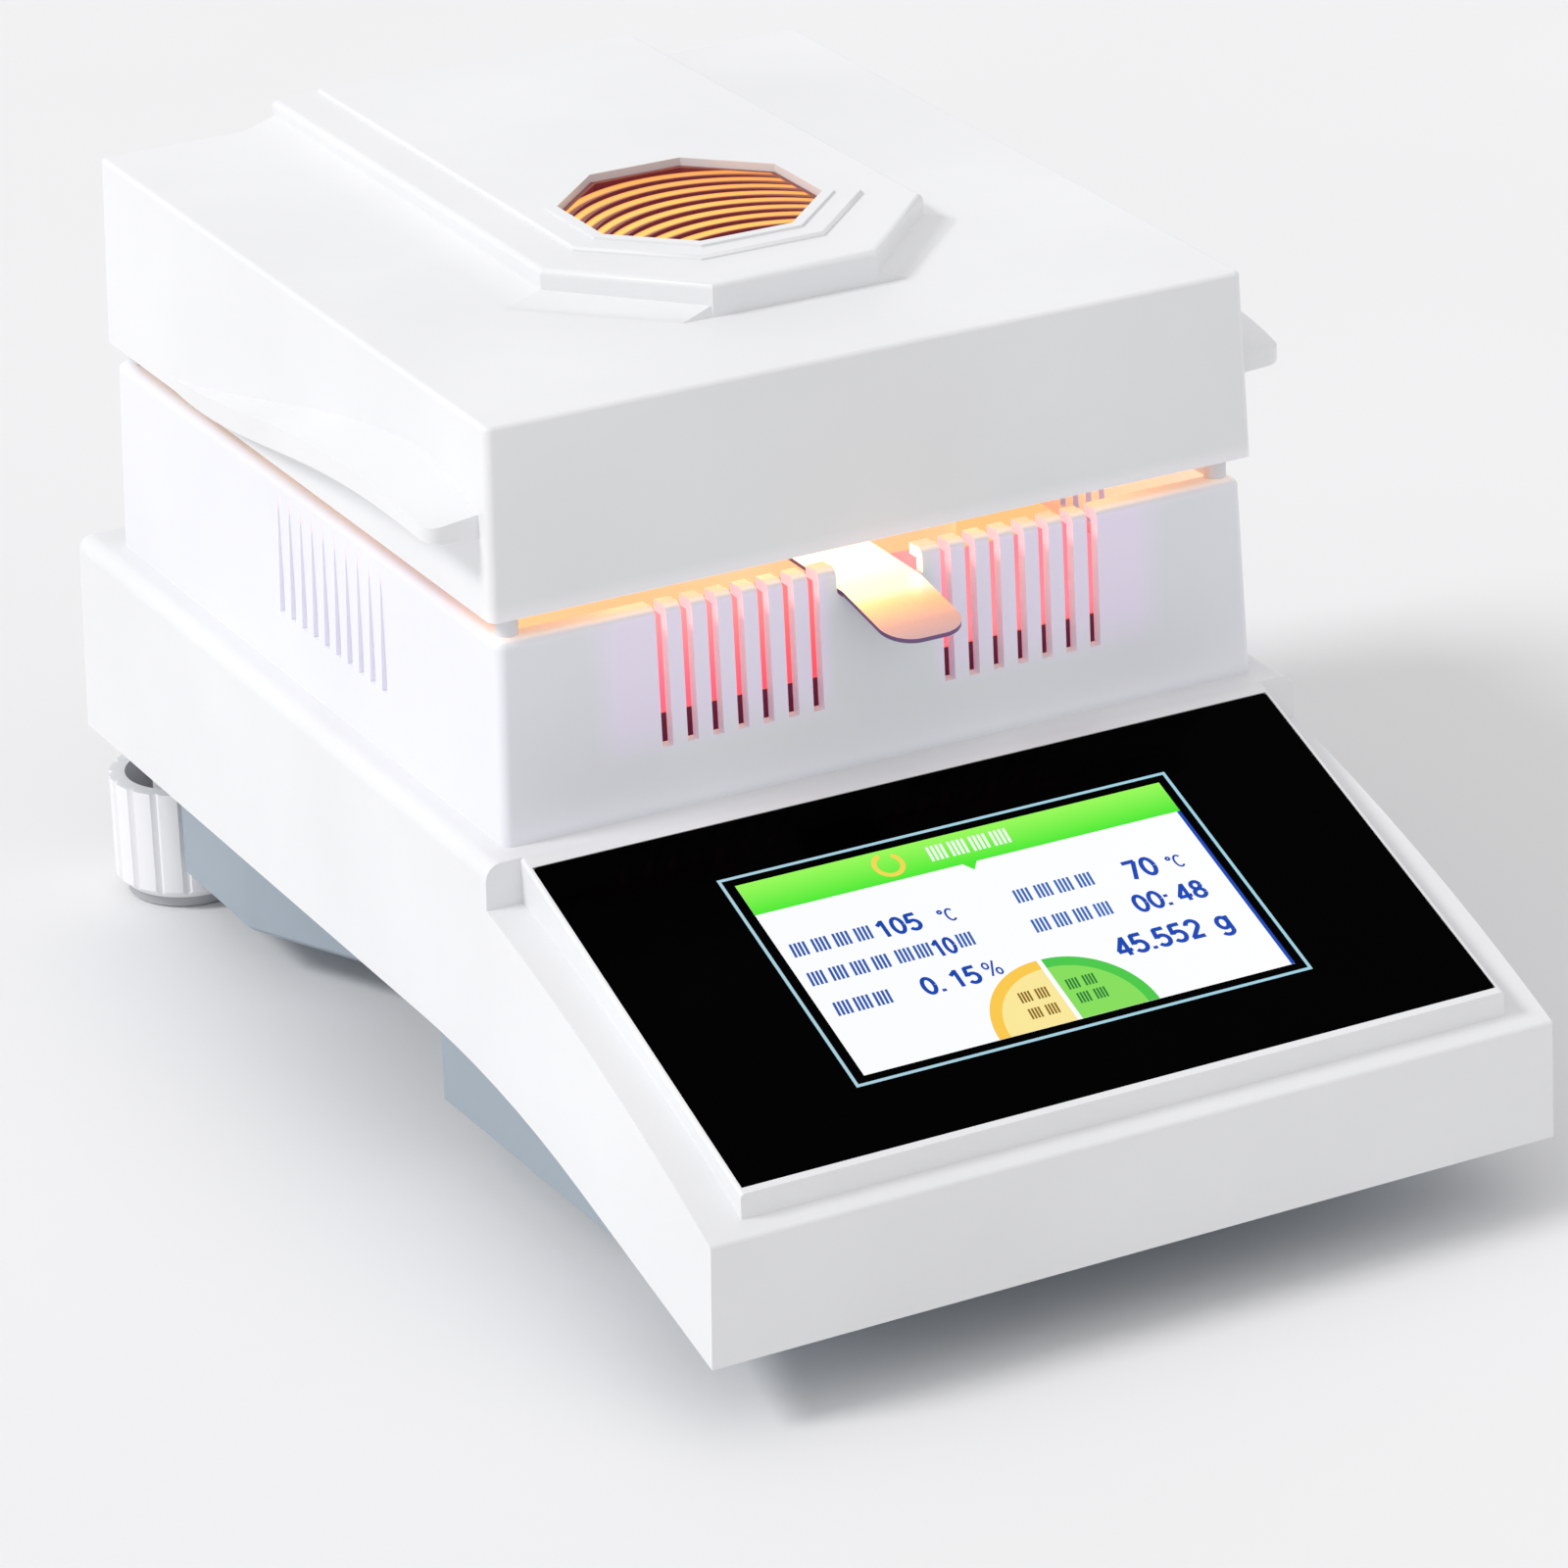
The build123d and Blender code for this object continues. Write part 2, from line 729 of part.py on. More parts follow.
wing_root_x = lid_width / 2 - 0.9
wing_root_top = [(185, 1.8), (126, 13.5), (66, 26.4), (44, 29.4), (35, 30.0), (19, 27.9), (3, 23.7)]
wing_root_low = [(3, 17.9), (28, 21.4), (66, 17.9), (126, 6.4), (185, 0.3)]
wing_tip_top = [(185, -0.2), (126, 9.4), (66, 21.9), (44, 24.7), (35, 25.3), (19, 24.2), (3, 21.9)]
wing_tip_low = [(3, 18.9), (28, 21.0), (66, 17.0), (126, 5.0), (185, -1.7)]
wing_plan_edge = [(185, 1.5), (138, 6.5), (88, 11.5), (48, 15.0), (22, 15.5), (4, 14.0)]
with BuildPart() as wing:
    add(wing_section(wing_root_x, wing_root_top, wing_root_low))
    add(wing_section(wing_root_x + wing_span + 2, wing_tip_top, wing_tip_low))
    loft(ruled=True)
    with BuildSketch(Plane.XY.offset(deck_height)) as wing_plan:
        with BuildLine():
            edge = Spline(*[(wing_root_x + reach, chamber_front_y + run) for run, reach in wing_plan_edge])
            Polyline(edge @ 1, (wing_root_x - 4, (edge @ 1).Y), (wing_root_x - 4, (edge @ 0).Y), edge @ 0)
        make_face()
        fillet(wing_plan.vertices().sort_by(Axis.Y).group_by(Axis.Y)[0].sort_by(Axis.X)[-1], 4)
    extrude(amount=deck_height + 10, mode=Mode.INTERSECT)

with BuildPart() as lid_shell:
    add(
        drafted_block(
            lid_side(0), lid_bottom_z, lid_width + 2 * lid_draft, lid_back_top_z, lid_width
        )
    )
    upright_edges = lid_shell.edges().filter_by(
        lambda e: abs(e.center().X) > lid_width * 0.48
        and abs(e.center().Z - (lid_bottom_z + lid_front_top_z) / 2) < 3
    )
    fillet(upright_edges, 2)
    top_edges = lid_shell.edges().filter_by(lambda e: e.center().Z > lid_front_top_z - 1)
    fillet(top_edges, lid_edge_radius)
    extrude(hump_plan.moved(Location((0, 0, lid_front_top_z - 2))), amount=hump_top_z - lid_front_top_z + 2)
    hump_edges = lid_shell.edges().filter_by(lambda e: abs(e.center().Z - hump_top_z) < 0.01)
    fillet(hump_edges, 1.6)
    add(hump_skirt.part)
    extrude(plateau_plan.moved(Location((0, 0, hump_top_z - 1))), amount=1 + plateau_step)
    plateau_edges = lid_shell.edges().filter_by(lambda e: abs(e.center().Z - plateau_z) < 0.01)
    chamfer(plateau_edges, plateau_step * 0.6)
    with BuildSketch(Plane.XY.offset(plateau_z - 1)):
        with Locations((0, pan_y)):
            RegularPolygon(window_across / 2 + window_lip, 8, major_radius=False, rotation=22.5)
    extrude(amount=1 + window_lip_height)
    add(wing.part)
    add(wing.part.mirror(Plane.YZ))
    add(
        drafted_block(
            lid_side(lid_wall),
            lid_bottom_z,
            lid_width + 2 * lid_draft - 2 * lid_wall,
            lid_back_top_z,
            lid_width - 2 * lid_wall,
        ),
        mode=Mode.SUBTRACT,
    )
    extrude(
        hump_hollow.moved(Location((0, 0, hump_hollow_z))),
        amount=hump_top_z - lid_wall - hump_hollow_z,
        mode=Mode.SUBTRACT,
    )
    with BuildSketch(Plane.XY.offset(lid_front_top_z)):
        with Locations((0, pan_y)):
            RegularPolygon(window_across / 2, 8, major_radius=False, rotation=22.5)
    extrude(amount=20, mode=Mode.SUBTRACT)
    # Posts over the bumpers and bosses for the liner's screws
    with BuildSketch(Plane.XY.offset(lid_bottom_z)):
        with Locations((0, chamber_mid_y)):
            with GridLocations(2 * post_x, 2 * post_y, 2, 2):
                Circle(4)
    extrude(amount=lid_height - lid_wall + lid_rise)
    with BuildSketch(Plane.XY.offset(lid_liner_top)):
        with Locations((0, chamber_mid_y)):
            with GridLocations(2 * lid_boss_x, 2 * lid_boss_y, 2, 2):
                Circle(4)
    extrude(amount=lid_back_top_z - lid_wall + 0.4 - lid_liner_top)
    with Locations(Plane.XY.offset(lid_liner_top)):
        with Locations((0, chamber_mid_y)):
            with GridLocations(2 * lid_boss_x, 2 * lid_boss_y, 2, 2):
                Cylinder(screw_radius, 10, align=standing, mode=Mode.SUBTRACT)

# Window grille: arc bars in an octagonal frame held under the roof
grille_top = plateau_z - 1.3
roof_under = hump_top_z - lid_wall
with BuildPart() as window_grille:
    with BuildSketch(Plane.XY.offset(roof_under - 1.5)):
        with Locations((0, pan_y)):
            RegularPolygon(window_across / 2 + 3, 8, major_radius=False, rotation=22.5)
            RegularPolygon(window_across / 2 - 1.4, 8, major_radius=False, rotation=22.5, mode=Mode.SUBTRACT)
    extrude(amount=1.5)
    with BuildSketch(Plane.XY.offset(roof_under - 1.5)):
        with Locations((0, pan_y)):
            RegularPolygon(window_across / 2 - 0.15, 8, major_radius=False, rotation=22.5)
            RegularPolygon(window_across / 2 - 1.4, 8, major_radius=False, rotation=22.5, mode=Mode.SUBTRACT)
    extrude(amount=grille_top - roof_under + 1.5)
    with BuildSketch(Plane.XY.offset(roof_under - 1.5)):
        for bar in range(grille_bars):
            crown_y = pan_y + 24.5 - bar * grille_pitch
            with Locations((0, crown_y - grille_radius)):
                Circle(grille_radius)
                Circle(grille_radius - grille_bar, mode=Mode.SUBTRACT)
        with Locations((0, pan_y)):
            RegularPolygon(window_across / 2 - 0.5, 8, major_radius=False, rotation=22.5, mode=Mode.INTERSECT)
    extrude(amount=grille_top - roof_under + 1.5)

# Amber glass under the grille
with BuildPart() as window_glass:
    with BuildSketch(Plane.XY.offset(roof_under - 1.5 - window_glass_thickness)):
        with Locations((0, pan_y)):
            RegularPolygon(window_across / 2 + 3, 8, major_radius=False, rotation=22.5)
    extrude(amount=window_glass_thickness)

# Lid liner with the round opening of the lamp
liner_half = lid_width / 2 + lid_draft - lid_draft * lid_liner_rise / lid_height - lid_wall - 0.4
lid_liner_back = chamber_back_y - lid_wall - 0.4
lid_liner_front = chamber_front_y + lid_wall
sensor_radius = 1.6
sensor_place = (-56.0, pan_y - 56.0)
with BuildPart() as lid_liner:
    with BuildSketch(Plane.XY.offset(lid_liner_z)):
        with Locations((0, (lid_liner_back + lid_liner_front) / 2)):
            Rectangle(2 * liner_half, lid_liner_back - lid_liner_front)
        with Locations((0, pan_y)):
            Circle(lamp_opening_radius, mode=Mode.SUBTRACT)
        with Locations((0, chamber_mid_y)):
            with GridLocations(2 * post_x, 2 * post_y, 2, 2):
                Circle(4.5, mode=Mode.SUBTRACT)
            with GridLocations(2 * lid_boss_x, 2 * lid_boss_y, 2, 2):
                Circle(1.6, mode=Mode.SUBTRACT)
        with Locations(sensor_place):
            Circle(sensor_radius + 0.6, mode=Mode.SUBTRACT)
    extrude(amount=lid_liner_sheet)

with BuildPart() as guard_glass:
    with Locations(Plane.XY.offset(lid_liner_top)):
        with Locations((0, pan_y)):
            Cylinder(guard_glass_radius, guard_glass_thickness, align=standing)

# Reflector: flange on the liner, shoulder over the guard glass, cone up to an open crown
glass_top = lid_liner_top + guard_glass_thickness
wall_radius = guard_glass_radius + 0.3
flange_radius = guard_glass_radius + 6
reflector_top = glass_top + reflector_height
holder_y = pan_y + flange_radius + 1
holder_length = 16
leg_x = 10
lamp_z = glass_top + 9
with BuildPart() as reflector:
    with BuildSketch(Plane.XZ.offset(-pan_y)):
        with BuildLine():
            Polyline(
                (wall_radius, lid_liner_top),
                (flange_radius, lid_liner_top),
                (flange_radius, lid_liner_top + reflector_sheet),
                (wall_radius + reflector_sheet, lid_liner_top + reflector_sheet),
                (wall_radius + reflector_sheet, glass_top + reflector_sheet),
                (lamp_opening_radius + reflector_sheet, glass_top + reflector_sheet),
                (reflector_crown_radius + reflector_sheet, reflector_top),
                (reflector_crown_radius, reflector_top),
                (lamp_opening_radius, glass_top),
                (wall_radius, glass_top),
                close=True,
            )
        make_face()
    revolve(axis=Axis((0, pan_y, 0), (0, 0, 1)))
    with Locations((0, pan_y + 52, lamp_z)):
        Box(2 * leg_x + 10, 24, 10, mode=Mode.SUBTRACT)

# Ring-shaped halogen tube with two legs into ceramic holders
with BuildPart() as halogen_lamp:
    with BuildSketch(Plane.XZ.offset(-pan_y)):
        with Locations((lamp_ring_radius, lamp_z)):
            RegularPolygon(lamp_tube_radius, 12)
    revolve(axis=Axis((0, pan_y, 0), (0, 0, 1)))
    with BuildSketch(Plane.XZ.offset(-holder_y - 6)):
        with Locations((-leg_x, lamp_z), (leg_x, lamp_z)):
            Circle(lamp_tube_radius - 1)
    extrude(amount=holder_y + 6 - pan_y - lamp_ring_radius + 2)

with BuildPart() as lamp_holders:
    with Locations((0, holder_y + holder_length / 2, lid_liner_top)):
        with GridLocations(2 * leg_x, 1, 2, 1):
            Box(14, holder_length, lamp_z + 7 - lid_liner_top, align=standing)
    with BuildSketch(Plane.XZ.offset(-holder_y - 6)):
        with Locations((-leg_x, lamp_z), (leg_x, lamp_z)):
            Circle(lamp_tube_radius - 1)
    extrude(amount=10, mode=Mode.SUBTRACT)

# Clips that press the reflector's flange onto the liner
with BuildPart() as reflector_clips:
    for angle in (45, 135, 225, 315):
        with BuildPart(Location((0, pan_y, lid_liner_top), (0, 0, 1), angle)):
            with Locations((flange_radius, 0, reflector_sheet)):
                Box(6, 8, 1, align=standing)
            with Locations((flange_radius + 1.7, 0, 0)):
                Box(2.6, 8, 1, align=standing)

# Air temperature sensor hanging through the liner
with BuildPart() as temperature_sensor:
    with Locations((*sensor_place, lid_bottom_z + 0.6)):
        Cylinder(sensor_radius, lid_liner_top - lid_bottom_z + 6, align=standing)
    with Locations((*sensor_place, lid_liner_top)):
        Cylinder(5, 3, align=standing)

with BuildPart() as lid_screws:
    with Locations((0, chamber_mid_y, lid_liner_z)):
        with GridLocations(2 * lid_boss_x, 2 * lid_boss_y, 2, 2):
            Cylinder(screw_radius, 8, align=standing)
            Cylinder(screw_head_radius, screw_head - 0.2, align=hanging)

# Hinges behind the chamber
hinge_y = chamber_back_y + hinge_leaf + knuckle_radius + 0.2
hinge_z = rim_z + lid_gap / 2
knuckle_middle = hinge_width * 0.4
knuckle_play = 0.2
bracket_leaf_z = rim_z - rim_radius - 19
lid_leaf_z = lid_bottom_z + 1.2


def knuckle(x_start, x_end, web_z, web_height):
    with BuildPart() as barrel:
        with BuildSketch(Plane.YZ.offset(x_start)):
            with Locations((hinge_y, hinge_z)):
                Circle(knuckle_radius)
            with Locations(((chamber_back_y + hinge_y) / 2, web_z + web_height / 2)):
                Rectangle(hinge_y - chamber_back_y, web_height)
        extrude(amount=x_end - x_start)
    return barrel.part


def hinge_bracket(centre_x):
    with BuildPart() as bracket:
        with Locations((centre_x, chamber_back_y, bracket_leaf_z)):
            Box(hinge_width, hinge_leaf, bracket_leaf_height, align=(Align.CENTER, Align.MIN, Align.MIN))
        low_start = centre_x - hinge_width / 2
        high_start = centre_x + knuckle_middle / 2 + knuckle_play
        high_end = centre_x + hinge_width / 2
        low_end = centre_x - knuckle_middle / 2 - knuckle_play
        add(knuckle(low_start, low_end, hinge_z - knuckle_radius + 0.2, 1.5))
        add(knuckle(high_start, high_end, hinge_z - knuckle_radius + 0.2, 1.5))
        with BuildSketch(Plane.YZ.offset(low_start)):
            with Locations((hinge_y, hinge_z)):
                Circle(hinge_pin_radius)
        extrude(amount=hinge_width, mode=Mode.SUBTRACT)
    return bracket.part


def hinge_arm(centre_x):
    with BuildPart() as arm:
        with Locations((centre_x, chamber_back_y, lid_leaf_z)):
            Box(hinge_width, hinge_leaf, arm_leaf_height, align=(Align.CENTER, Align.MIN, Align.MIN))
        mid_start = centre_x - knuckle_middle / 2
        add(knuckle(mid_start, mid_start + knuckle_middle, lid_bottom_z + 0.2, 1.5))
        with BuildSketch(Plane.YZ.offset(mid_start)):
            with Locations((hinge_y, hinge_z)):
                Circle(hinge_pin_radius + hinge_fit)
        extrude(amount=knuckle_middle, mode=Mode.SUBTRACT)
    return arm.part


def hinge_pin(centre_x):
    with BuildPart() as pin:
        with BuildSketch(Plane.YZ.offset(centre_x - hinge_width / 2)):
            with Locations((hinge_y, hinge_z)):
                Circle(hinge_pin_radius)
        extrude(amount=hinge_width)
    return pin.part


with BuildPart() as hinge_bracket_left:
    add(hinge_bracket(-hinge_spread))

with BuildPart() as hinge_bracket_right:
    add(hinge_bracket(hinge_spread))

with BuildPart() as hinge_arm_left:
    add(hinge_arm(-hinge_spread))

with BuildPart() as hinge_arm_right:
    add(hinge_arm(hinge_spread))

with BuildPart() as hinge_pin_left:
    add(hinge_pin(-hinge_spread))

with BuildPart() as hinge_pin_right:
    add(hinge_pin(hinge_spread))

# Screws of the chamber and of the tray
with BuildPart() as chamber_screws:
    with Locations((0, chamber_mid_y, deck_height - shell_wall)):
        with GridLocations(*chamber_post_grid):
            Cylinder(screw_radius, shell_wall + 8, align=standing)
            Cylinder(screw_head_radius, screw_head, align=hanging)

with BuildPart() as tray_screws:
    with Locations(*[(x, y, tray_low_z) for x, y in screw_places]):
        Cylinder(screw_radius, 12, align=standing)
        Cylinder(screw_head_radius, screw_head, align=hanging)

# Touch panel and display
with BuildPart() as touch_glass:
    with BuildSketch(console_plane):
        with Locations((0, glass_middle)):
            RectangleRounded(glass_width, glass_length, 0.8)
    extrude(amount=-glass_thickness)

display_low = console_wall + display_thickness
bracket_low = display_low + bracket_thickness
board_high = bracket_low + display_board_gap
board_low = board_high + board_thickness
with BuildPart() as display_module:
    with BuildSketch(console_plane.offset(-console_wall)):
        with Locations((0, glass_middle)):
            Rectangle(display_width, display_length)
    extrude(amount=-display_thickness)

with BuildPart() as display_bracket:
    with BuildSketch(console_plane.offset(-display_low)):
        with Locations((0, glass_middle)):
            Rectangle(display_width + 2 * bracket_lug, display_length)
            Rectangle(display_width - 24, display_length - 30, mode=Mode.SUBTRACT)
    extrude(amount=-bracket_thickness)
    with BuildSketch(console_plane.offset(-bracket_low)):
        with Locations((0, glass_middle)):
            with GridLocations(display_width - 17, display_length - 12, 2, 2):
                Circle(3)
    extrude(amount=-display_board_gap)

with BuildPart() as display_board:
    with BuildSketch(console_plane.offset(-board_high)):
        with Locations((0, glass_middle)):
            Rectangle(display_width - 8, display_length - 4)
    extrude(amount=-board_thickness)

# Chassis plate on the tray, and the boards on it
chassis_half = base_width / 2 - 24.3
chassis_front_y = front_y + 158
chassis_back_y = cell_free_y + cell_length + 11.3
chassis_top = chassis_z + chassis_thickness
board_z = chassis_top + standoff_height
board_top = board_z + board_thickness
board_across = chassis_half - cell_width / 2 - 7.0
main_board_length = 120.0
supply_length = 100.0
relay_pitch = board_across * 0.3
main_board_y = back_y - 123
supply_y = back_y - 103
chassis_posts = [(side * (chassis_half - 12), y) for side in (-1, 1) for y in (front_y + 173, back_y - 128)]
chassis_columns = [(side * (chassis_half - 22), back_y - 41) for side in (-1, 1)]
with BuildPart() as chassis_plate:
    with BuildSketch(Plane.XY.offset(chassis_z)):
        with Locations((0, (chassis_front_y + chassis_back_y) / 2)):
            RectangleRounded(2 * chassis_half, chassis_back_y - chassis_front_y, 6)
    extrude(amount=chassis_thickness)

with BuildPart() as board_standoffs:
    for side, middle, length in ((1, main_board_y, main_board_length), (-1, supply_y, supply_length)):
        with Locations((side * (chassis_half - board_across / 2), middle, chassis_top)):
            with GridLocations(board_across - 10, length - 10, 2, 2):
                Cylinder(3, standoff_height, align=standing)

with BuildPart() as main_board:
    with Locations((chassis_half - board_across / 2, main_board_y, board_z)):
        Box(board_across, main_board_length, board_thickness, align=standing)
    with Locations((chassis_half - board_across / 2, main_board_y, board_top)):
        with Locations((0, 5, 0)):
            Box(24, 24, 2.4, align=standing)
        with Locations(*[(2 + step * relay_pitch, 38, 0) for step in (-1, 0, 1)]):
            Box(12, 18, 3, align=standing)
        with Locations((14, -30, 0)):
            Box(18, 10, 6, align=standing)

with BuildPart() as power_supply:
    with Locations((board_across / 2 - chassis_half, supply_y, board_z)):
        Box(board_across, supply_length, board_thickness, align=standing)
    with Locations((board_across / 2 - chassis_half, supply_y, board_top)):
        with Locations((-6, -18, 0)):
            Box(34, 30, 21, align=standing)
        with Locations((-14, 28, 0), (6, 28, 0)):
            Cylinder(8, 22, align=standing)
        with Locations((22, 2, 0)):
            Box(3, 60, 20, align=standing)

# Ribbon from the display board to the main board
slope_cos = cos(radians(console_slope))
slope_sin = sin(radians(console_slope))
cable_sheet = 0.6
cable_width = 20.0
cable_landing_y = main_board_y - 104
cable_end_y = main_board_y - 46


def console_point(run, depth):
    """Height and place, in the side view, of a point below the console's face."""
    return (
        deck_front_y + run * slope_cos + depth * slope_sin,
        deck_height + run * slope_sin - depth * slope_cos,
    )


with BuildPart() as display_cable:
    with BuildSketch(Plane.YZ.offset(35)):
        with BuildLine():
            Polyline(
                console_point(-46, board_low),
                console_point(-24, board_low),
                (cable_landing_y, board_top + cable_sheet),
                (cable_end_y, board_top + cable_sheet),
                (cable_end_y, board_top),
                (cable_landing_y, board_top),
                console_point(-24, board_low + cable_sheet),
                console_point(-46, board_low + cable_sheet),
                close=True,
            )
        make_face()
    extrude(amount=cable_width)

# Bottom tray: a plate that follows the underside, with two deeper troughs
tray_wall = 2.4
rear_foot_y = back_y - rear_foot_setback
rear_foot_places = [(side * rear_foot_spread, rear_foot_y) for side in (-1, 1)]
insert_radius = stem_radius + running_fit + insert_wall
trough_half = base_width / 2 - 9.3
rear_trough = [
    (trough_half - 17, back_y - 115),
    (trough_half, back_y - 80),
    (trough_half, back_y - 41),
    (trough_half - 31, back_y - 41),
    (trough_half - 31, back_y - 23),
]
front_trough = [
    (trough_half - 4, front_y + 48),
    (trough_half - 3.2, front_y + 61),
    (trough_half - 0.4, front_y + 154),
]


def trough_plan(half, inset):
    with BuildSketch() as outline:
        with BuildLine():
            Polyline(*half, *[(-x, y) for x, y in reversed(half)], close=True)
        make_face()
        if inset:
            offset(amount=-inset, kind=Kind.INTERSECTION)
    return outline.sketch


with BuildPart() as bottom_tray:
    add(tray_body)
    for half in (rear_trough, front_trough):
        outer = trough_plan(half, 0)
        extrude(outer.moved(Location((0, 0, tray_floor_height))), amount=underside_height)
    low_corners = bottom_tray.edges().group_by(Axis.Z)[0]
    chamfer(low_corners, 1.5)
    add(tray_trim, mode=Mode.SUBTRACT)
    for half in (rear_trough, front_trough):
        inner = trough_plan(half, tray_wall)
        inner_floor = inner.moved(Location((0, 0, tray_floor_height + tray_wall)))
        extrude(inner_floor, amount=deck_height, mode=Mode.SUBTRACT)
    # Sleeves of the rear feet
    with BuildSketch(Plane.XY.offset(sleeve_low)):
        with Locations(*rear_foot_places):
            Circle(insert_radius + sleeve_wall)
    extrude(amount=sleeve_length)
    with BuildSketch(Plane.XY.offset(sleeve_low)):
        with Locations(*rear_foot_places):
            Circle(insert_radius)
    extrude(amount=sleeve_length, mode=Mode.SUBTRACT)
    # Posts under the chassis plate
    with BuildSketch(Plane.XY.offset(tray_low_z)):
        with Locations(*chassis_posts):
            Circle(4)
    extrude(amount=chassis_z - tray_low_z)
    with BuildSketch(Plane.XY.offset(tray_floor_height + 1)):
        with Locations(*chassis_columns):
            Circle(5)
    extrude(amount=chassis_z - tray_floor_height - 1)
    with BuildSketch(Plane.XY.offset(tray_low_z - 1)):
        with Locations(*screw_places):
            Circle(1.6)
    extrude(amount=8, mode=Mode.SUBTRACT)

# Rear levelling feet
stem_low = tray_floor_height
hub_radius = stem_radius + 3.2
knob_low = sole_height + 0.2
stud_top = sole_height + 5.0
with BuildPart() as knob:
    with BuildSketch(Plane.XY.offset(knob_low)):
        Circle(knob_radius)
    extrude(amount=knob_top - knob_low)
    chamfer(knob.edges().group_by(Axis.Z)[0], 2.2)
    with BuildSketch(Plane.XY.offset(knob_low)):
        with PolarLocations(knob_radius + 0.2, knob_flutes):
            Rectangle(1.9, 1.9, rotation=45)
    extrude(amount=knob_top, mode=Mode.SUBTRACT)
    with BuildSketch(Plane.XY.offset(14)):
        Circle(knob_radius - knob_wall)
        Circle(hub_radius, mode=Mode.SUBTRACT)
    extrude(amount=knob_top, mode=Mode.SUBTRACT)
    with BuildSketch(Plane.XY.offset(stem_low)):
        Circle(stem_radius)
    extrude(amount=knob_top, mode=Mode.SUBTRACT)
    with BuildSketch(Plane.XY.offset(knob_low)):
        Circle(stem_radius + 2 * running_fit)
    extrude(amount=stud_top + 0.3 - knob_low, mode=Mode.SUBTRACT)

with BuildPart() as foot_knob_left:
    add(knob.part.moved(Location((-rear_foot_spread, rear_foot_y, 0))))

with BuildPart() as foot_knob_right:
    add(knob.part.moved(Location((rear_foot_spread, rear_foot_y, 0))))


def foot_stem(x):
    with BuildPart() as stem:
        with Locations((x, rear_foot_y, stem_low)):
            Cylinder(stem_radius, stem_top - stem_low, align=standing)
        chamfer(stem.edges().group_by(Axis.Z)[-1], 0.8)
    return stem.part


def foot_sole(x):
    with BuildPart() as sole:
        with Locations((x, rear_foot_y, 0)):
            Cylinder(sole_radius, sole_height, align=standing)
            Cylinder(stem_radius, stud_top, align=standing)
        chamfer(sole.edges().group_by(Axis.Z)[0], 0.6)
    return sole.part


def foot_insert(x):
    with BuildPart() as insert:
        with Locations((x, rear_foot_y, sleeve_low)):
            Cylinder(insert_radius, sleeve_length, align=standing)
            Cylinder(stem_radius + running_fit, sleeve_length, align=standing, mode=Mode.SUBTRACT)
    return insert.part


with BuildPart() as foot_stem_left:
    add(foot_stem(-rear_foot_spread))

with BuildPart() as foot_stem_right:
    add(foot_stem(rear_foot_spread))

with BuildPart() as foot_sole_left:
    add(foot_sole(-rear_foot_spread))

with BuildPart() as foot_sole_right:
    add(foot_sole(rear_foot_spread))

with BuildPart() as foot_insert_left:
    add(foot_insert(-rear_foot_spread))

with BuildPart() as foot_insert_right:
    add(foot_insert(rear_foot_spread))

with BuildPart() as front_feet:
    with BuildSketch(Plane.XY):
        with Locations(*[(side * front_foot_spread, front_y + front_foot_setback) for side in (-1, 1)]):
            Circle(front_foot_radius - 1)
    extrude(amount=tray_floor_height, taper=-4)

# Rear panel: inlet, switch, data port and level
panel_y = back_y - panel_recess
flange = 1.8

with BuildPart() as power_inlet:
    with BuildSketch(Plane.XZ.offset(-panel_y)):
        with Locations((inlet_x, panel_mid_z)):
            RectangleRounded(inlet_width, inlet_height, 2)
            with GridLocations(inlet_width - 8, 1, 2, 1):
                Circle(1.6, mode=Mode.SUBTRACT)
    extrude(amount=-flange)
    with BuildSketch(Plane.XZ.offset(-panel_y)):
        with Locations((inlet_x, panel_mid_z)):
            Rectangle(inlet_width - 17.4, inlet_height - 4.4)
    extrude(amount=socket_depth + 5)
    socket = Plane.XZ.offset(-panel_y - flange)
    with BuildSketch(socket):
        with Locations((inlet_x, panel_mid_z)):
            Rectangle(socket_width, socket_height)
    extrude(amount=socket_depth + flange, mode=Mode.SUBTRACT)
    with BuildSketch(Plane.XZ.offset(socket_depth - panel_y)):
        for run, rise in ((-7, -2), (7, -2), (0, 2)):
            with Locations((inlet_x + run, panel_mid_z + rise)):
                Rectangle(2, 4)
    extrude(amount=-socket_depth + 2)

frame_wall = 1.0
rocker_half_width = switch_width / 2 - 1.25 - 0.2 - frame_wall - rocker_fit
rocker_half_height = 7.5
rocker_tilt = 7.0
pivot_y = back_y - 6.0
pivot_radius = 1.2
frame_back_y = pivot_y - 9.0
with BuildPart() as switch_frame:
    with BuildSketch(Plane.XZ.offset(-panel_y)):
        with Locations((switch_x, panel_mid_z)):
            RectangleRounded(switch_width + 3, switch_height + 3, 1.5)
    extrude(amount=-1.4)
    with BuildSketch(Plane.XZ.offset(-panel_y)):
        with Locations((switch_x, panel_mid_z)):
            Rectangle(switch_width - 2.9, switch_height - 2.4)
    extrude(amount=panel_y - frame_back_y + 1.5)
    with BuildSketch(Plane.XZ.offset(-back_y)):
        with Locations((switch_x, panel_mid_z)):
            Rectangle(switch_width - 2.9 - 2 * frame_wall, switch_height - 2.4 - 2 * frame_wall)
    extrude(amount=back_y - frame_back_y, mode=Mode.SUBTRACT)
    with BuildSketch(Plane.YZ.offset(switch_x - switch_width / 2)):
        with Locations((pivot_y, panel_mid_z)):
            Circle(pivot_radius + running_fit)
    extrude(amount=switch_width, mode=Mode.SUBTRACT)

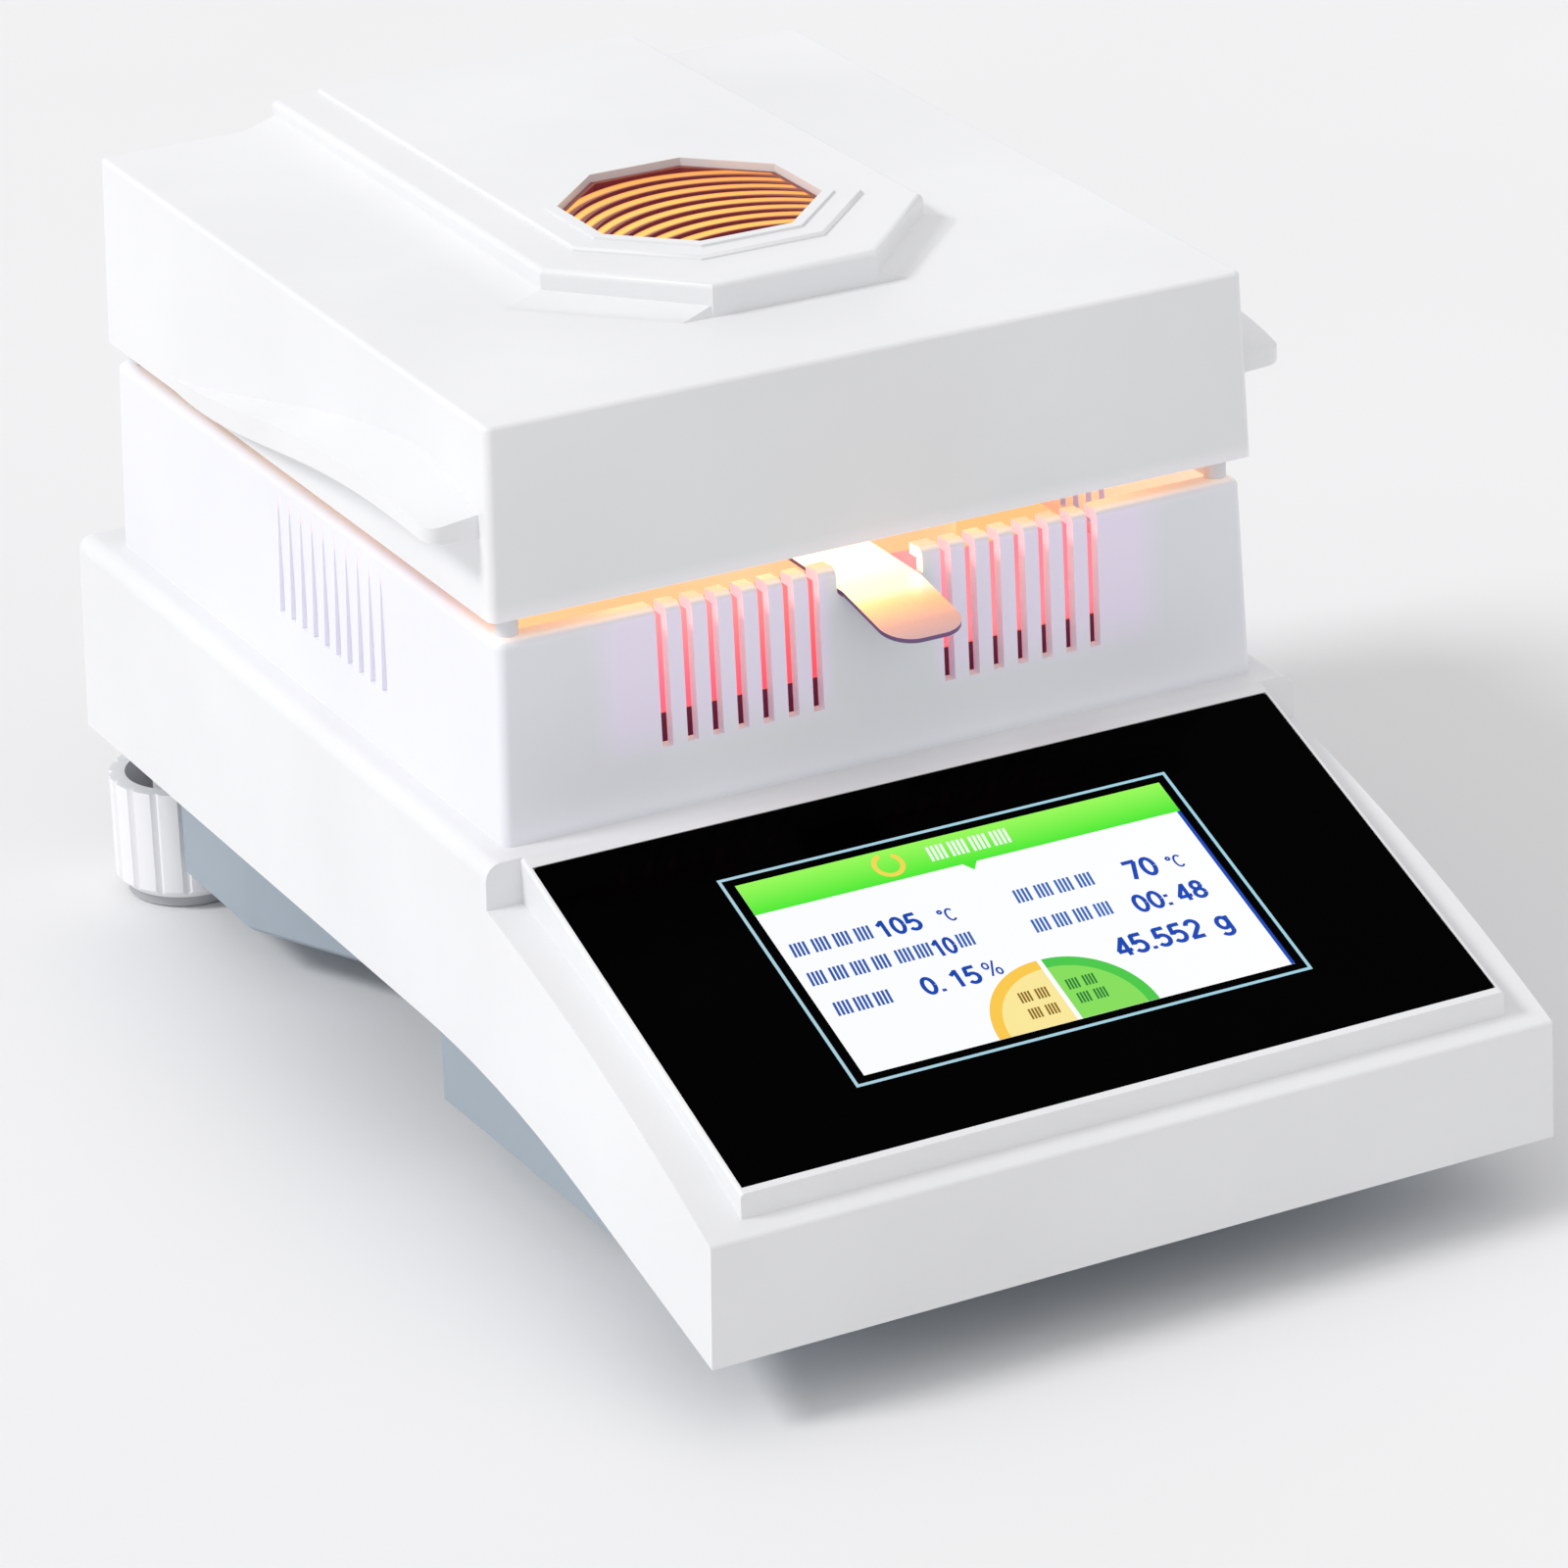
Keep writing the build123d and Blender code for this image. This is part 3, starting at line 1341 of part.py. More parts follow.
with BuildPart() as power_rocker:
    with BuildSketch(Plane.YZ.offset(switch_x)):
        with BuildLine():
            Polyline(
                (pivot_y - 2.5, panel_mid_z - 5.5),
                (pivot_y - 2.5, panel_mid_z + 5.5),
                (pivot_y + 1.5, panel_mid_z + rocker_half_height),
                (pivot_y + 4.1, panel_mid_z + rocker_half_height),
                (pivot_y + 3.2, panel_mid_z),
                (pivot_y + 4.1, panel_mid_z - rocker_half_height),
                (pivot_y + 1.5, panel_mid_z - rocker_half_height),
                close=True,
            )
        make_face()
    extrude(amount=rocker_half_width, both=True)
    with BuildSketch(Plane.YZ.offset(switch_x)):
        with Locations((pivot_y, panel_mid_z)):
            Circle(pivot_radius)
    extrude(amount=switch_width / 2 - 1.45 - 0.2, both=True)
power_rocker.part = power_rocker.part.rotate(Axis((switch_x, pivot_y, panel_mid_z), (1, 0, 0)), -rocker_tilt)

with BuildPart() as serial_port:
    with BuildSketch(Plane.XZ.offset(-panel_y)):
        with Locations((port_x, panel_mid_z)):
            RectangleRounded(port_width, port_height, 1.5)
    extrude(amount=-0.8)
    with BuildSketch(Plane.XZ.offset(-panel_y)):
        with Locations((port_x, panel_mid_z)):
            Trapezoid(16.6, 8.0, 80, rotation=180)
    extrude(amount=-panel_recess)
    with BuildSketch(Plane.XZ.offset(-panel_y)):
        with Locations((port_x, panel_mid_z)):
            Rectangle(port_width - 13.6, port_height - 3.6)
    extrude(amount=9)
    with BuildSketch(Plane.XZ.offset(-back_y)):
        with Locations((port_x, panel_mid_z)):
            Trapezoid(15.0, 6.6, 80, rotation=180)
    extrude(amount=6, mode=Mode.SUBTRACT)
    with BuildSketch(Plane.XZ.offset(-back_y + 6)):
        with Locations((port_x, panel_mid_z + 1.4)):
            with GridLocations(2.7, 1, 5, 1):
                Circle(0.5)
        with Locations((port_x, panel_mid_z - 1.4)):
            with GridLocations(2.7, 1, 4, 1):
                Circle(0.5)
    extrude(amount=-5)

level_x = 20 - base_width / 2
level_y = chamber_back_y + 5.0
with BuildPart() as bubble_level:
    with Locations((level_x, level_y, deck_height)):
        Cylinder(4.4, 2.2, align=standing)
        with Locations((0, 0, 2.2)):
            Cylinder(3.2, 0.8, align=standing)

pieces = {
    "base_housing": base_housing,
    "bottom_tray": bottom_tray,
    "chassis_plate": chassis_plate,
    "touch_glass": touch_glass,
    "display_module": display_module,
    "display_bracket": display_bracket,
    "display_board": display_board,
    "display_cable": display_cable,
    "chamber_housing": chamber_housing,
    "bumper_pads": bumper_pads,
    "chamber_liner": chamber_liner,
    "draught_ring": draught_ring,
    "chamber_screws": chamber_screws,
    "tray_screws": tray_screws,
    "pan_handler": pan_handler,
    "sample_pan": sample_pan,
    "pan_support": pan_support,
    "weighing_spindle": weighing_spindle,
    "load_cell": load_cell,
    "load_cell_mount": load_cell_mount,
    "main_board": main_board,
    "power_supply": power_supply,
    "board_standoffs": board_standoffs,
    "lid_shell": lid_shell,
    "window_grille": window_grille,
    "window_glass": window_glass,
    "lid_liner": lid_liner,
    "guard_glass": guard_glass,
    "reflector": reflector,
    "reflector_clips": reflector_clips,
    "halogen_lamp": halogen_lamp,
    "lamp_holders": lamp_holders,
    "temperature_sensor": temperature_sensor,
    "lid_screws": lid_screws,
    "hinge_bracket_left": hinge_bracket_left,
    "hinge_bracket_right": hinge_bracket_right,
    "hinge_arm_left": hinge_arm_left,
    "hinge_arm_right": hinge_arm_right,
    "hinge_pin_left": hinge_pin_left,
    "hinge_pin_right": hinge_pin_right,
    "foot_knob_left": foot_knob_left,
    "foot_knob_right": foot_knob_right,
    "foot_stem_left": foot_stem_left,
    "foot_stem_right": foot_stem_right,
    "foot_sole_left": foot_sole_left,
    "foot_sole_right": foot_sole_right,
    "foot_insert_left": foot_insert_left,
    "foot_insert_right": foot_insert_right,
    "front_feet": front_feet,
    "power_inlet": power_inlet,
    "switch_frame": switch_frame,
    "power_rocker": power_rocker,
    "serial_port": serial_port,
    "bubble_level": bubble_level,
}
for name, piece in pieces.items():
    piece.part.label = name
    export_step(piece.part, f"parts/{name}.step")
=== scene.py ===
import bpy
import bmesh
from math import cos, radians, sin
from mathutils import Matrix, Vector


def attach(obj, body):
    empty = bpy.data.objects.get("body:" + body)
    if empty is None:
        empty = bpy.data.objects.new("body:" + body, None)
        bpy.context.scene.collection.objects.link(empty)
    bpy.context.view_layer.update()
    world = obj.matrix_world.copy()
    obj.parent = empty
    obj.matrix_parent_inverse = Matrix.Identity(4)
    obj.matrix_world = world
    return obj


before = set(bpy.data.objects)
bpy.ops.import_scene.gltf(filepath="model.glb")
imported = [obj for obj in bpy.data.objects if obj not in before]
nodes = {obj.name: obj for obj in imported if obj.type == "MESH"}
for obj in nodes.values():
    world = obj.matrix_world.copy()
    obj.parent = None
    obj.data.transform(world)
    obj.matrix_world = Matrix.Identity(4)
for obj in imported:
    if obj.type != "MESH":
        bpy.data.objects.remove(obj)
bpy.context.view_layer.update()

# Places are millimetres in the part's frame, turned into metres by MM
MM = 0.001
chamber_middle_y = 50.5
rim_top = 140.2
ring_low = 95.4
ring_slots_top = 122
slot_low = 104
slots_inner_x = 15
slots_outer_x = 66
notch_half = 12.5
tongue_tip_y = -83
tongue_root_y = -50

# Slanting plane through the chamber's front edge: z + slope * y between these two levels; painted heater
# light is red under it and amber over it
rim_line_slope = 0.486
rim_line_low = 113.6
rim_line_high = 114.2

# Window in the lid and its arc bars
window_middle_y = 30.7
window_half = 28.5
window_frame = 1.6
bar_radius = 38.0
bar_pitch = 6.0
first_crown_y = window_middle_y + 24.5

# Colours of the heater's light
DEEP_RED = (0.42, 0.012, 0.06)
ROSE = (1.0, 0.12, 0.2)
PINK = (1.0, 0.27, 0.38)
AMBER = (1.0, 0.6, 0.24)
CREAM = (1.0, 0.88, 0.66)
MAROON = (0.035, 0.003, 0.02)
LILAC = (0.85, 0.62, 0.82)
DARK = (0.0, 0.0, 0.0)
FULL = (1.0, 1.0, 1.0)


# Helpers for node trees
def new_material(name):
    mat = bpy.data.materials.new(name)
    mat.use_nodes = True
    tree = mat.node_tree
    return mat, tree, tree.nodes["Principled BSDF"]


def feed(tree, socket, value):
    """Link a socket to another one, or set it to a constant."""
    if isinstance(value, bpy.types.NodeSocket):
        tree.links.new(value, socket)
    elif isinstance(value, tuple) and len(value) < len(socket.default_value):
        socket.default_value = (*value, 1)
    else:
        socket.default_value = value


def maths(tree, operation, *values):
    node = tree.nodes.new("ShaderNodeMath")
    node.operation = operation
    for socket, value in zip(node.inputs, values):
        feed(tree, socket, value)
    return node.outputs[0]


def vector_maths(tree, operation, output, *values):
    node = tree.nodes.new("ShaderNodeVectorMath")
    node.operation = operation
    for socket, value in zip(node.inputs, values):
        feed(tree, socket, value)
    return node.outputs[output]


def remap(tree, value, low, high, to_low=0.0, to_high=1.0):
    node = tree.nodes.new("ShaderNodeMapRange")
    node.inputs["From Min"].default_value = low
    node.inputs["From Max"].default_value = high
    node.inputs["To Min"].default_value = to_low
    node.inputs["To Max"].default_value = to_high
    tree.links.new(value, node.inputs["Value"])
    return node.outputs["Result"]


def ramp(tree, fac, stops):
    node = tree.nodes.new("ShaderNodeValToRGB")
    ends = node.color_ramp.elements
    for element, (position, colour) in zip((ends[0], ends[1]), (stops[0], stops[-1])):
        element.position = position
        element.color = (*colour, 1)
    for position, colour in stops[1:-1]:
        ends.new(position).color = (*colour, 1)
    tree.links.new(fac, node.inputs["Fac"])
    return node.outputs["Color"]


def mix(tree, mode, fac, first, second):
    node = tree.nodes.new("ShaderNodeMix")
    node.data_type = "RGBA"
    node.blend_type = mode
    feed(tree, node.inputs["Factor"], fac)
    feed(tree, node.inputs["A"], first)
    feed(tree, node.inputs["B"], second)
    return node.outputs["Result"]


def surface(tree, output):
    return tree.nodes.new("ShaderNodeTexCoord").outputs[output]


def part_of(tree, vector, axis):
    node = tree.nodes.new("ShaderNodeSeparateXYZ")
    tree.links.new(vector, node.inputs["Vector"])
    return node.outputs[axis]


def along(tree, axis, low, high):
    """0 to 1 between two places on an axis of the part."""
    return remap(tree, part_of(tree, surface(tree, "Object"), axis), low * MM, high * MM)


def upward(tree, low=0.6, high=0.9):
    """1 on faces that look up, 0 on upright ones."""
    return remap(tree, part_of(tree, surface(tree, "Normal"), "Z"), low, high)


def over_rim_line(tree):
    """1 above the slanting plane through the chamber's front edge, 0 under it."""
    place = surface(tree, "Object")
    sunk = maths(tree, "MULTIPLY", part_of(tree, place, "Y"), rim_line_slope)
    level = maths(tree, "ADD", part_of(tree, place, "Z"), sunk)
    return remap(tree, level, rim_line_low * MM, rim_line_high * MM)


def outwardness(tree, middle_y):
    """How far a face looks away from the upright line through the middle: 1 away, -1 towards it."""
    offset = vector_maths(tree, "SUBTRACT", "Vector", surface(tree, "Object"), (0.0, middle_y * MM, 0.0))
    level = vector_maths(tree, "MULTIPLY", "Vector", offset, (1.0, 1.0, 0.0))
    ray = vector_maths(tree, "NORMALIZE", "Vector", level)
    return vector_maths(tree, "DOT_PRODUCT", "Value", ray, surface(tree, "Normal"))


def noise(tree, scale, detail=3.0, rough=0.5, stretch=None):
    place = surface(tree, "Object")
    if stretch:
        place = vector_maths(tree, "MULTIPLY", "Vector", place, stretch)
    tex = tree.nodes.new("ShaderNodeTexNoise")
    tex.inputs["Scale"].default_value = scale
    tex.inputs["Detail"].default_value = detail
    tex.inputs["Roughness"].default_value = rough
    tree.links.new(place, tex.inputs["Vector"])
    return tex.outputs["Fac"]


def bump(tree, bsdf, height, strength, distance):
    node = tree.nodes.new("ShaderNodeBump")
    node.inputs["Strength"].default_value = strength
    node.inputs["Distance"].default_value = distance
    tree.links.new(height, node.inputs["Height"])
    tree.links.new(node.outputs["Normal"], bsdf.inputs["Normal"])


def shade(colour, factor):
    return tuple(min(1.0, part * factor) for part in colour)


def glow(mat, colour, strength):
    """Let a material emit a colour, given as a socket or as numbers."""
    bsdf = mat.node_tree.nodes["Principled BSDF"]
    feed(mat.node_tree, bsdf.inputs["Emission Color"], colour)
    bsdf.inputs["Emission Strength"].default_value = strength
    return mat


# Families of materials
def plastic(name, colour, rough, grain=2600, depth=0.00004, strength=0.25, spread=0.03, specular=0.5):
    mat, tree, bsdf = new_material(name)
    wide = noise(tree, 14, 4)
    fine = noise(tree, grain, 2)
    tint = ramp(tree, wide, [(0.3, shade(colour, 1 - spread)), (0.7, shade(colour, 1 + spread))])
    tree.links.new(tint, bsdf.inputs["Base Color"])
    tree.links.new(remap(tree, fine, 0, 1, rough - 0.06, rough + 0.06), bsdf.inputs["Roughness"])
    bsdf.inputs["Specular IOR Level"].default_value = specular
    bump(tree, bsdf, fine, strength, depth)
    return mat


def metal(name, colour, rough, stretch, grain=900, strength=0.15):
    mat, tree, bsdf = new_material(name)
    brushed = noise(tree, grain, 3, 0.6, stretch)
    wide = noise(tree, 20, 3)
    tint = ramp(tree, wide, [(0.3, shade(colour, 0.93)), (0.7, colour)])
    tree.links.new(tint, bsdf.inputs["Base Color"])
    tree.links.new(remap(tree, brushed, 0, 1, rough - 0.08, rough + 0.1), bsdf.inputs["Roughness"])
    bsdf.inputs["Metallic"].default_value = 1.0
    bump(tree, bsdf, brushed, strength, 0.00002)
    return mat


def glass(name, colour, rough, weight=1.0):
    mat, tree, bsdf = new_material(name)
    fine = noise(tree, 60, 3)
    tree.links.new(ramp(tree, fine, [(0.3, shade(colour, 0.96)), (0.7, colour)]), bsdf.inputs["Base Color"])
    tree.links.new(remap(tree, fine, 0, 1, rough, rough + 0.04), bsdf.inputs["Roughness"])
    bsdf.inputs["Transmission Weight"].default_value = weight
    return mat


# Plain materials
white = plastic("white_plastic", (0.83, 0.835, 0.85), 0.42)
knob_white = plastic("knob_plastic", (0.9, 0.9, 0.92), 0.4)
grey = plastic("grey_plastic", (0.34, 0.4, 0.46), 0.5, strength=0.4)
black = plastic("black_plastic", (0.02, 0.02, 0.022), 0.45, spread=0.2)
bumper_rubber = plastic("bumper_rubber", (0.74, 0.74, 0.77), 0.6, grain=900, strength=0.4, spread=0.06)
sole_rubber = plastic("sole_rubber", (0.42, 0.43, 0.45), 0.7, grain=900, strength=0.4, spread=0.08)
ceramic = plastic("ceramic", (0.8, 0.77, 0.7), 0.3, grain=600, spread=0.05)
board = plastic("board", (0.03, 0.18, 0.08), 0.35, grain=700, spread=0.25)
cable = plastic("cable", (0.5, 0.5, 0.52), 0.5, grain=500, spread=0.1)
display = plastic("display", (0.03, 0.035, 0.045), 0.2, spread=0.2)
steel = metal("sheet_steel", (0.62, 0.61, 0.59), 0.34, (1, 14, 14))
polished = metal("mirror_steel", (0.8, 0.79, 0.77), 0.14, (1, 6, 1), 300, 0.05)
cell = metal("cell_aluminium", (0.75, 0.75, 0.77), 0.38, (8, 1, 8), 700)
foil = metal("pan_aluminium", (0.83, 0.83, 0.84), 0.28, (1, 1, 1), 260, 0.3)
screw = metal("screw_steel", (0.66, 0.66, 0.66), 0.25, (1, 1, 8), 1500)
spindle = metal("spindle_steel", (0.7, 0.7, 0.7), 0.2, (1, 1, 10), 1200)
brass = metal("brass", (0.72, 0.5, 0.2), 0.3, (1, 1, 8), 1500)
clear = glass("clear_glass", (0.93, 0.97, 0.97), 0.02)
lamp = glow(glass("lamp_glass", (1.0, 0.85, 0.65), 0.05, 0.4), (1.0, 0.42, 0.1), 2.0)
# Dark amber window glass with a painted maroon glow, standing in for the heater's light through it
amber = glow(plastic("amber_glass", (0.1, 0.012, 0.012), 0.12, grain=300, spread=0.3), MAROON, 1.2)


def panel_glass():
    """Deep black panel with a faint smear in its gloss."""
    mat, tree, bsdf = new_material("panel_glass")
    smear = noise(tree, 30, 5)
    tint = ramp(tree, smear, [(0.3, (0.0001, 0.0001, 0.0002)), (0.7, (0.0003, 0.0003, 0.0004))])
    tree.links.new(tint, bsdf.inputs["Base Color"])
    tree.links.new(remap(tree, smear, 0, 1, 0.06, 0.14), bsdf.inputs["Roughness"])
    bsdf.inputs["Specular IOR Level"].default_value = 0.006
    return mat


def place_across_bars(tree, x, y):
    """0 at the back edge of each bar, 1 at the next one's, from the arcs' own radius and pitch."""
    run = maths(tree, "SUBTRACT", (bar_radius * MM) ** 2, maths(tree, "MULTIPLY", x, x))
    crown = maths(tree, "ADD", maths(tree, "SQRT", run), (first_crown_y - bar_radius) * MM)
    return maths(tree, "FRACT", maths(tree, "DIVIDE", maths(tree, "SUBTRACT", crown, y), bar_pitch * MM))


def window_edge(tree, x, y):
    """1 on the octagonal frame round the bars, 0 inside it."""
    aside = maths(tree, "ABSOLUTE", x)
    ahead = maths(tree, "ABSOLUTE", maths(tree, "SUBTRACT", y, window_middle_y * MM))
    slant = maths(tree, "MULTIPLY", maths(tree, "ADD", aside, ahead), 0.7071)
    reach = maths(tree, "MAXIMUM", maths(tree, "MAXIMUM", aside, ahead), slant)
    inner = window_half - window_frame
    return remap(tree, reach, inner * MM, (inner + 0.4) * MM)


def lit_bars():
    """Grille bars with painted heater light from below: yellow along the middle of each bar, painted maroon
    shade over its front edge.
    """
    mat, tree, bsdf = new_material("lit_bars")
    fine = noise(tree, 900, 2)
    tint = ramp(tree, fine, [(0.3, (0.11, 0.03, 0.012)), (0.7, (0.16, 0.05, 0.015))])
    tree.links.new(tint, bsdf.inputs["Base Color"])
    tree.links.new(remap(tree, fine, 0, 1, 0.35, 0.5), bsdf.inputs["Roughness"])
    place = surface(tree, "Object")
    x = part_of(tree, place, "X")
    y = part_of(tree, place, "Y")
    profile = ramp(
        tree,
        place_across_bars(tree, x, y),
        [
            (0.0, (0.5, 0.12, 0.1)),
            (0.12, (1.0, 0.8, 0.5)),
            (0.2, FULL),
            (0.42, FULL),
            (0.52, (0.85, 0.4, 0.35)),
            (0.6, (0.1, 0.008, 0.1)),
        ],
    )
    # Painted light runs from yellow to orange across the window and turns dimmer and more orange towards its
    # back
    top = ramp(
        tree,
        along(tree, "X", -window_half, window_half),
        [(0.0, (1.0, 0.64, 0.08)), (0.5, (1.0, 0.58, 0.05)), (1.0, (1.0, 0.38, 0.005))],
    )
    back = ramp(
        tree,
        along(tree, "Y", window_middle_y, window_middle_y + window_half),
        [(0.0, FULL), (1.0, (0.9, 0.62, 0.4))],
    )
    top = mix(tree, "MULTIPLY", 1.0, mix(tree, "MULTIPLY", 1.0, top, back), profile)
    # Painted shade: faces that don't look up, and the frame round the bars, keep only a dim maroon glow
    lit_face = mix(tree, "MIX", upward(tree, 0.75, 0.97), (0.09, 0.006, 0.02), top)
    return glow(mat, mix(tree, "MIX", window_edge(tree, x, y), lit_face, (0.11, 0.006, 0.012)), 0.95)


def handler_painted_glow():
    """Steel of the handler under painted heater light: nearly white at the notch, orange along the tongue,
    copper at its tip, with painted shade on its side faces.
    """
    mat, tree, bsdf = new_material("handler_painted_glow")
    brushed = noise(tree, 900, 3, 0.6, (14, 1, 14))
    run = along(tree, "Y", tongue_tip_y, tongue_root_y)
    tint = ramp(tree, run, [(0.0, (0.62, 0.5, 0.5)), (0.3, (0.7, 0.5, 0.44)), (0.8, (0.75, 0.6, 0.45))])
    # Painted shade: the tongue's side faces are darker than its top
    tree.links.new(mix(tree, "MIX", upward(tree), (0.12, 0.08, 0.15), tint), bsdf.inputs["Base Color"])
    tree.links.new(remap(tree, brushed, 0, 1, 0.2, 0.38), bsdf.inputs["Roughness"])
    bsdf.inputs["Metallic"].default_value = 1.0
    bump(tree, bsdf, brushed, 0.12, 0.00002)
    # Painted heater light along the tongue: a near-white glow at the notch that fades to copper at the tip,
    # with only a dim painted glow on the side faces
    painted_glow = ramp(
        tree,
        run,
        [
            (0.0, (0.3, 0.1, 0.09)),
            (0.2, (0.45, 0.17, 0.09)),
            (0.38, (0.9, 0.4, 0.14)),
            (0.5, AMBER),
            (0.62, CREAM),
            (1.0, (1.0, 0.93, 0.8)),
        ],
    )
    return glow(mat, mix(tree, "MIX", upward(tree), (0.06, 0.03, 0.08), painted_glow), 0.85)


def ring_steel():
    """Draught ring under painted heater light: pink glow behind the slots, redder in the middle, amber above
    the rim's line.
    """
    mat = metal("ring_steel", (0.35, 0.3, 0.3), 0.45, (1, 1, 14))
    tree = mat.node_tree
    rise = ramp(
        tree,
        along(tree, "Z", ring_low, ring_slots_top),
        [(0.0, ROSE), (0.35, (1.0, 0.2, 0.32)), (1.0, (1.0, 0.4, 0.42))],
    )
    redder = ramp(
        tree,
        along(tree, "X", -46, 34),
        [(0.0, FULL), (0.5, (1.0, 0.4, 0.38)), (0.68, (1.0, 0.4, 0.38)), (0.9, (1.0, 0.95, 0.9))],
    )
    low = mix(tree, "MULTIPLY", 1.0, rise, redder)
    return glow(mat, mix(tree, "MIX", over_rim_line(tree), low, AMBER), 0.9)


def liner_steel():
    """Liner: painted heater light on its inside; its outside is dark, with a faint painted maroon glow."""
    mat = metal("liner_steel", (0.1, 0.06, 0.07), 0.45, (1, 14, 14))
    tree = mat.node_tree
    inner = remap(tree, outwardness(tree, chamber_middle_y), -0.5, -0.6)
    lit_part = maths(tree, "MAXIMUM", inner, upward(tree))
    redder = ramp(tree, along(tree, "Y", -28, -6), [(0.0, (1.0, 0.1, 0.12)), (1.0, (1.0, 0.26, 0.34))])
    inside = mix(tree, "MIX", over_rim_line(tree), redder, AMBER)
    return glow(mat, mix(tree, "MIX", lit_part, MAROON, inside), 0.9)


def chamber_plastic():
    """White moulding whose inner faces, slots and rim carry painted heater light as glow."""
    mat = plastic("chamber_plastic", (0.86, 0.865, 0.92), 0.42)
    tree = mat.node_tree
    away = outwardness(tree, chamber_middle_y)
    place = surface(tree, "Object")
    aside = maths(tree, "ABSOLUTE", part_of(tree, place, "X"))
    # Painted heater light on the inner faces: red to pink behind the slots, amber above the rim's line
    low_light = ramp(tree, along(tree, "Z", 96, 132), [(0.0, DEEP_RED), (0.3, ROSE), (1.0, PINK)])
    high_light = ramp(tree, along(tree, "X", 66, 90), [(0.0, AMBER), (1.0, (0.85, 0.36, 0.2))])
    inner_light = mix(tree, "MIX", over_rim_line(tree), low_light, high_light)
    light = mix(tree, "MIX", remap(tree, away, -0.5, -0.6), DARK, inner_light)
    # Painted light on the walls of the slots: upright faces that look sideways, faint purple low down, rose
    # higher up, cream in the handler's notch
    sideways = remap(tree, maths(tree, "ABSOLUTE", away), 0.62, 0.5)
    flat = maths(tree, "SUBTRACT", 1.0, upward(tree, 0.3, 0.5))
    slot_wall = maths(tree, "MULTIPLY", sideways, flat)
    high = along(tree, "Z", 132.5, 135)
    wall_light = mix(tree, "MIX", high, (0.03, 0.01, 0.06), (0.6, 0.16, 0.2))
    in_notch = remap(tree, aside, (notch_half + 0.4) * MM, notch_half * MM)
    wall_light = mix(tree, "MIX", in_notch, wall_light, shade(CREAM, 0.7))
    light = mix(tree, "ADD", slot_wall, light, wall_light)
    # Painted lilac glow on the front faces of the ribs between the slots
    forward = remap(tree, part_of(tree, surface(tree, "Normal"), "Y"), -0.85, -0.95)
    inner_end = remap(tree, aside, (slots_inner_x - 3) * MM, slots_inner_x * MM)
    outer_end = remap(tree, aside, (slots_outer_x + 8) * MM, slots_outer_x * MM)
    ribs = maths(tree, "MULTIPLY", inner_end, outer_end)
    ribs = maths(tree, "MULTIPLY", along(tree, "Z", slot_low, slot_low + 10), ribs)
    light = mix(tree, "ADD", maths(tree, "MULTIPLY", forward, ribs), light, (0.07, 0.0, 0.1))
    # Painted amber glow on the top of the rim, brightest in front by the notch
    top = maths(tree, "MULTIPLY", upward(tree, 0.5, 0.85), along(tree, "Z", rim_top - 1.2, rim_top - 0.4))
    front = along(tree, "Y", -20, -52)
    middle = remap(tree, aside, 95 * MM, 55 * MM, 0.4, 1.0)
    rim = maths(tree, "MULTIPLY", top, maths(tree, "MULTIPLY", front, middle))
    light = mix(tree, "ADD", maths(tree, "MULTIPLY", rim, 0.6), light, AMBER)
    return glow(mat, light, 0.9)


def lid_plastic():
    """White moulding of the lid, with a faint painted pink glow along its lower front edge."""
    mat = plastic("lid_plastic", (0.85, 0.855, 0.87), 0.36, grain=2200)
    tree = mat.node_tree
    low = along(tree, "Z", 149.5, 145.6)
    front = along(tree, "Y", -54, -56)
    return glow(mat, mix(tree, "MIX", maths(tree, "MULTIPLY", low, front), DARK, LILAC), 0.1)


wall = chamber_plastic()
lid_white = lid_plastic()
panel = panel_glass()
bars = lit_bars()
handler_glow = handler_painted_glow()
ring = ring_steel()
liner = liner_steel()

finish = {
    "base_housing": white, "chamber_housing": wall, "lid_shell": lid_white, "bottom_tray": grey,
    "touch_glass": panel, "display_module": display, "display_board": board, "display_cable": cable,
    "main_board": board, "power_supply": board, "board_standoffs": brass, "foot_insert_left": brass,
    "foot_insert_right": brass, "bumper_pads": bumper_rubber, "foot_sole_left": sole_rubber,
    "foot_sole_right": sole_rubber, "front_feet": sole_rubber, "foot_knob_left": knob_white,
    "foot_knob_right": knob_white, "foot_stem_left": screw, "foot_stem_right": screw,
    "chamber_screws": screw, "tray_screws": screw, "lid_screws": screw, "hinge_pin_left": screw,
    "hinge_pin_right": screw, "serial_port": screw, "weighing_spindle": spindle, "load_cell": cell,
    "load_cell_mount": cell, "sample_pan": foil, "window_grille": bars, "window_glass": amber,
    "guard_glass": clear, "bubble_level": clear, "halogen_lamp": lamp, "lamp_holders": ceramic,
    "reflector": polished, "pan_handler": handler_glow, "draught_ring": ring, "chamber_liner": liner,
    "power_inlet": black, "switch_frame": black, "power_rocker": black,
}
soft_edges = {
    "base_housing": 0.35, "chamber_housing": 0.3, "lid_shell": 0.3, "bottom_tray": 0.4, "touch_glass": 0.2,
    "foot_knob_left": 0.3, "foot_knob_right": 0.3, "power_inlet": 0.2, "switch_frame": 0.2,
    "power_rocker": 0.25, "window_grille": 0.15,
}


